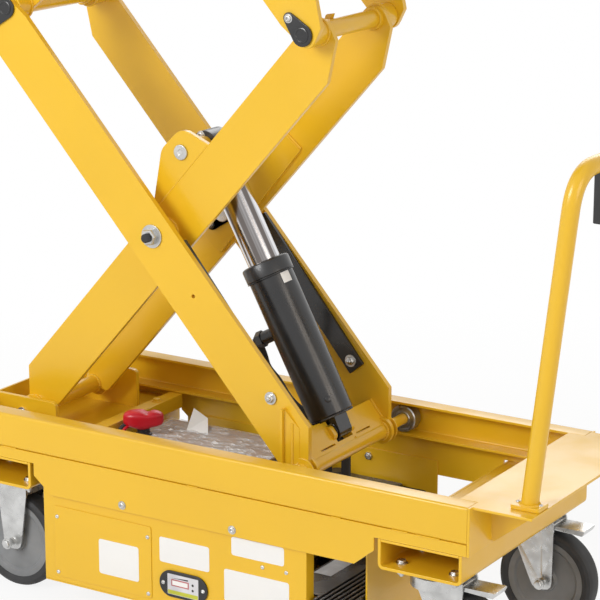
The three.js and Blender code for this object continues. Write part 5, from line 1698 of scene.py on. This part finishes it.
def control_panel():
    x1 = span("control_box", 0)[1]
    z0 = span("control_box", 2)[0]
    dressed("control_box", PLASTIC, "base", 1.6)
    middle_z = z0 + 48

    def collar(bm, y, inner, outer):
        rows = [(inner, x1 - 1), (outer, x1 - 1), (outer, x1 + 0.8), (outer - 1.6, x1 + 2), (inner, x1 + 2)]
        turned(bm, rows, along_x(BASE, y, middle_z), 48, ring=True)
    piece("button_collars", ZINC, "base",
          lambda bm: (collar(bm, -45, 14, 18.5), collar(bm, 0, 14, 18.5)), 0.2)
    disc = rounded([(y, z, 6) for y, z in ((45 - 24, middle_z - 24), (45 + 24, middle_z - 24),
                                           (45 + 24, middle_z + 24), (45 - 24, middle_z + 24))])
    piece("stop_button_backing", YELLOW, "base",
          lambda bm: slab(bm, disc, x1 + 0.02, x1 + 0.8, BASE, "X"), 0.2)
    for node, finish, y in (("up_button", GREEN, -45), ("down_button", PLASTIC, 0)):
        low, high = span(node, 0)
        rows = [(0, low), (12.6, low), (12.6, high - 1.6), (11.6, high - 0.4),
                (9.8, high - 1.2), (0, high - 1.2)]
        piece(node + "_cap", finish, node,
              lambda bm, rows=rows, y=y: turned(bm, rows, along_x(BASE, y, middle_z), 48), 0, (node,))
        flip = 1 if node == "up_button" else -1
        arrow = [(y - 5.5, middle_z - flip * 1), (y + 5.5, middle_z - flip * 1), (y, middle_z + flip * 6)]
        stem = [(y - 1.8, middle_z - flip * 6), (y + 1.8, middle_z - flip * 6),
                (y + 1.8, middle_z - flip * 1), (y - 1.8, middle_z - flip * 1)]
        piece(node + "_arrow", WHITE, node,
              lambda bm, arrow=arrow, stem=stem, high=high: (
                  slab(bm, arrow, high - 1.25, high - 0.9, BASE, "X"),
                  slab(bm, stem, high - 1.25, high - 0.9, BASE, "X")), 0)
    low, high = span("emergency_stop", 0)
    rows = [(0, low), (12.6, low), (12.6, x1 + 8), (17.2, x1 + 9), (18, x1 + 11), (18, high - 6),
            (16.6, high - 2.6), (12, high - 0.8), (6, high), (0, high)]
    piece("emergency_stop_cap", RED, "emergency_stop",
          lambda bm: turned(bm, rows, along_x(BASE, 45, middle_z), 56), 0, ("emergency_stop",))
    screws = [((x1, y, z), (1, 0, 0)) for y in (-68, 68) for z in (z0 + 8, z0 + 88)]
    fasteners("control_box_screws", "small_screw", "base", screws)


# ---- floor, light and camera ---------------------------------------------------------------
FLOOR_RADIUS = 7
FLOOR_GREY = 0.86
ROOM_FILL = 0.5                  # light that reaches the table from all round
LENS = 140.5
SENSOR = 36
CAMERA_SPOT = (2.2905, -3.7161, 1.8056)
CAMERA_AIM = (-0.5117, 0.8197, -0.2575)


def seen_directly(tree):
    """One where a surface is seen, mirrored or looked through, and nothing for plain light."""
    path = tree.nodes.new("ShaderNodeLightPath")
    total = path.outputs["Is Camera Ray"]
    for name in ("Is Glossy Ray", "Is Transmission Ray"):
        total = maths(tree, "MAXIMUM", total, path.outputs[name])
    return total


def floor():
    bm = bmesh.new()
    bmesh.ops.create_circle(bm, cap_ends=True, segments=96, radius=FLOOR_RADIUS)
    mesh = bpy.data.meshes.new("floor")
    bm.to_mesh(mesh)
    bm.free()
    ground = bpy.data.objects.new("floor", mesh)
    bpy.context.scene.collection.objects.link(ground)
    material = bpy.data.materials.new("pale_floor")
    material.use_nodes = True
    tree = material.node_tree
    shader = tree.nodes["Principled BSDF"]
    shader.inputs["Base Color"].default_value = (FLOOR_GREY, FLOOR_GREY, FLOOR_GREY, 1)
    shader.inputs["Roughness"].default_value = 0.8
    places = tree.nodes.new("ShaderNodeTexCoord").outputs["Object"]
    reach = tree.nodes.new("ShaderNodeVectorMath")
    reach.operation = "LENGTH"
    tree.links.new(places, reach.inputs[0])
    fade = tree.nodes.new("ShaderNodeMapRange")
    tree.links.new(reach.outputs["Value"], fade.inputs["Value"])
    for name, value in (("From Min", 0.5), ("From Max", 2.4), ("To Min", 0.86), ("To Max", 1.0)):
        fade.inputs[name].default_value = value
    share = maths(tree, "MULTIPLY", seen_directly(tree), fade.outputs["Result"])
    glow = tree.nodes.new("ShaderNodeEmission")
    blend = tree.nodes.new("ShaderNodeMixShader")
    tree.links.new(share, blend.inputs["Fac"])
    tree.links.new(shader.outputs["BSDF"], blend.inputs[1])
    tree.links.new(glow.outputs["Emission"], blend.inputs[2])
    tree.links.new(blend.outputs["Shader"], tree.nodes["Material Output"].inputs["Surface"])
    mesh.materials.append(material)


def room():
    world = bpy.data.worlds.new("white_room")
    bpy.context.scene.world = world
    world.use_nodes = True
    tree = world.node_tree
    fill = tree.nodes["Background"]
    fill.inputs["Color"].default_value = (1, 0.985, 0.965, 1)
    fill.inputs["Strength"].default_value = ROOM_FILL
    white = tree.nodes.new("ShaderNodeBackground")
    white.inputs["Color"].default_value = (1, 1, 1, 1)
    blend = tree.nodes.new("ShaderNodeMixShader")
    tree.links.new(seen_directly(tree), blend.inputs["Fac"])
    tree.links.new(fill.outputs["Background"], blend.inputs[1])
    tree.links.new(white.outputs["Background"], blend.inputs[2])
    tree.links.new(blend.outputs["Shader"], tree.nodes["World Output"].inputs["Surface"])


def soft_box(name, spot, target, size, watts, tint=(1, 1, 1)):
    lamp = bpy.data.lights.new(name, "AREA")
    lamp.shape = "DISK"
    lamp.size = size
    lamp.energy = watts
    lamp.color = tint
    obj = bpy.data.objects.new(name, lamp)
    bpy.context.scene.collection.objects.link(obj)
    obj.location = spot
    obj.rotation_euler = (Vector(target) - Vector(spot)).to_track_quat("-Z", "Y").to_euler()


def lights():
    soft_box("key", (-1.6, -4.6, 3.0), (0, 0, 0.7), 2.4, 165)
    soft_box("side_fill", (4.4, -1.2, 2.0), (0, 0, 0.7), 2.6, 55, (1, 0.88, 0.76))
    soft_box("back_fill", (-1.5, 4.0, 3.2), (0, 0, 0.8), 2.6, 48)


def camera():
    lens = bpy.data.cameras.new("camera")
    lens.lens = LENS
    lens.sensor_width = SENSOR
    view = bpy.data.objects.new("camera", lens)
    bpy.context.scene.collection.objects.link(view)
    view.location = CAMERA_SPOT
    view.rotation_euler = Vector(CAMERA_AIM).to_track_quat("-Z", "Y").to_euler()
    bpy.context.scene.camera = view


# ---- the whole table -----------------------------------------------------------------------
scissors()
lift_barrel()
lift_rod()
keeper()                         # a second time: lift_rod() has already made the keeper
base_frame()
power_box()
castors()
deck()
push_handle()
control_panel()
for spare in TEMPLATES:
    bpy.data.objects.remove(spare)
floor()
room()
lights()
camera()
bpy.context.scene.view_settings.view_transform = "Standard"
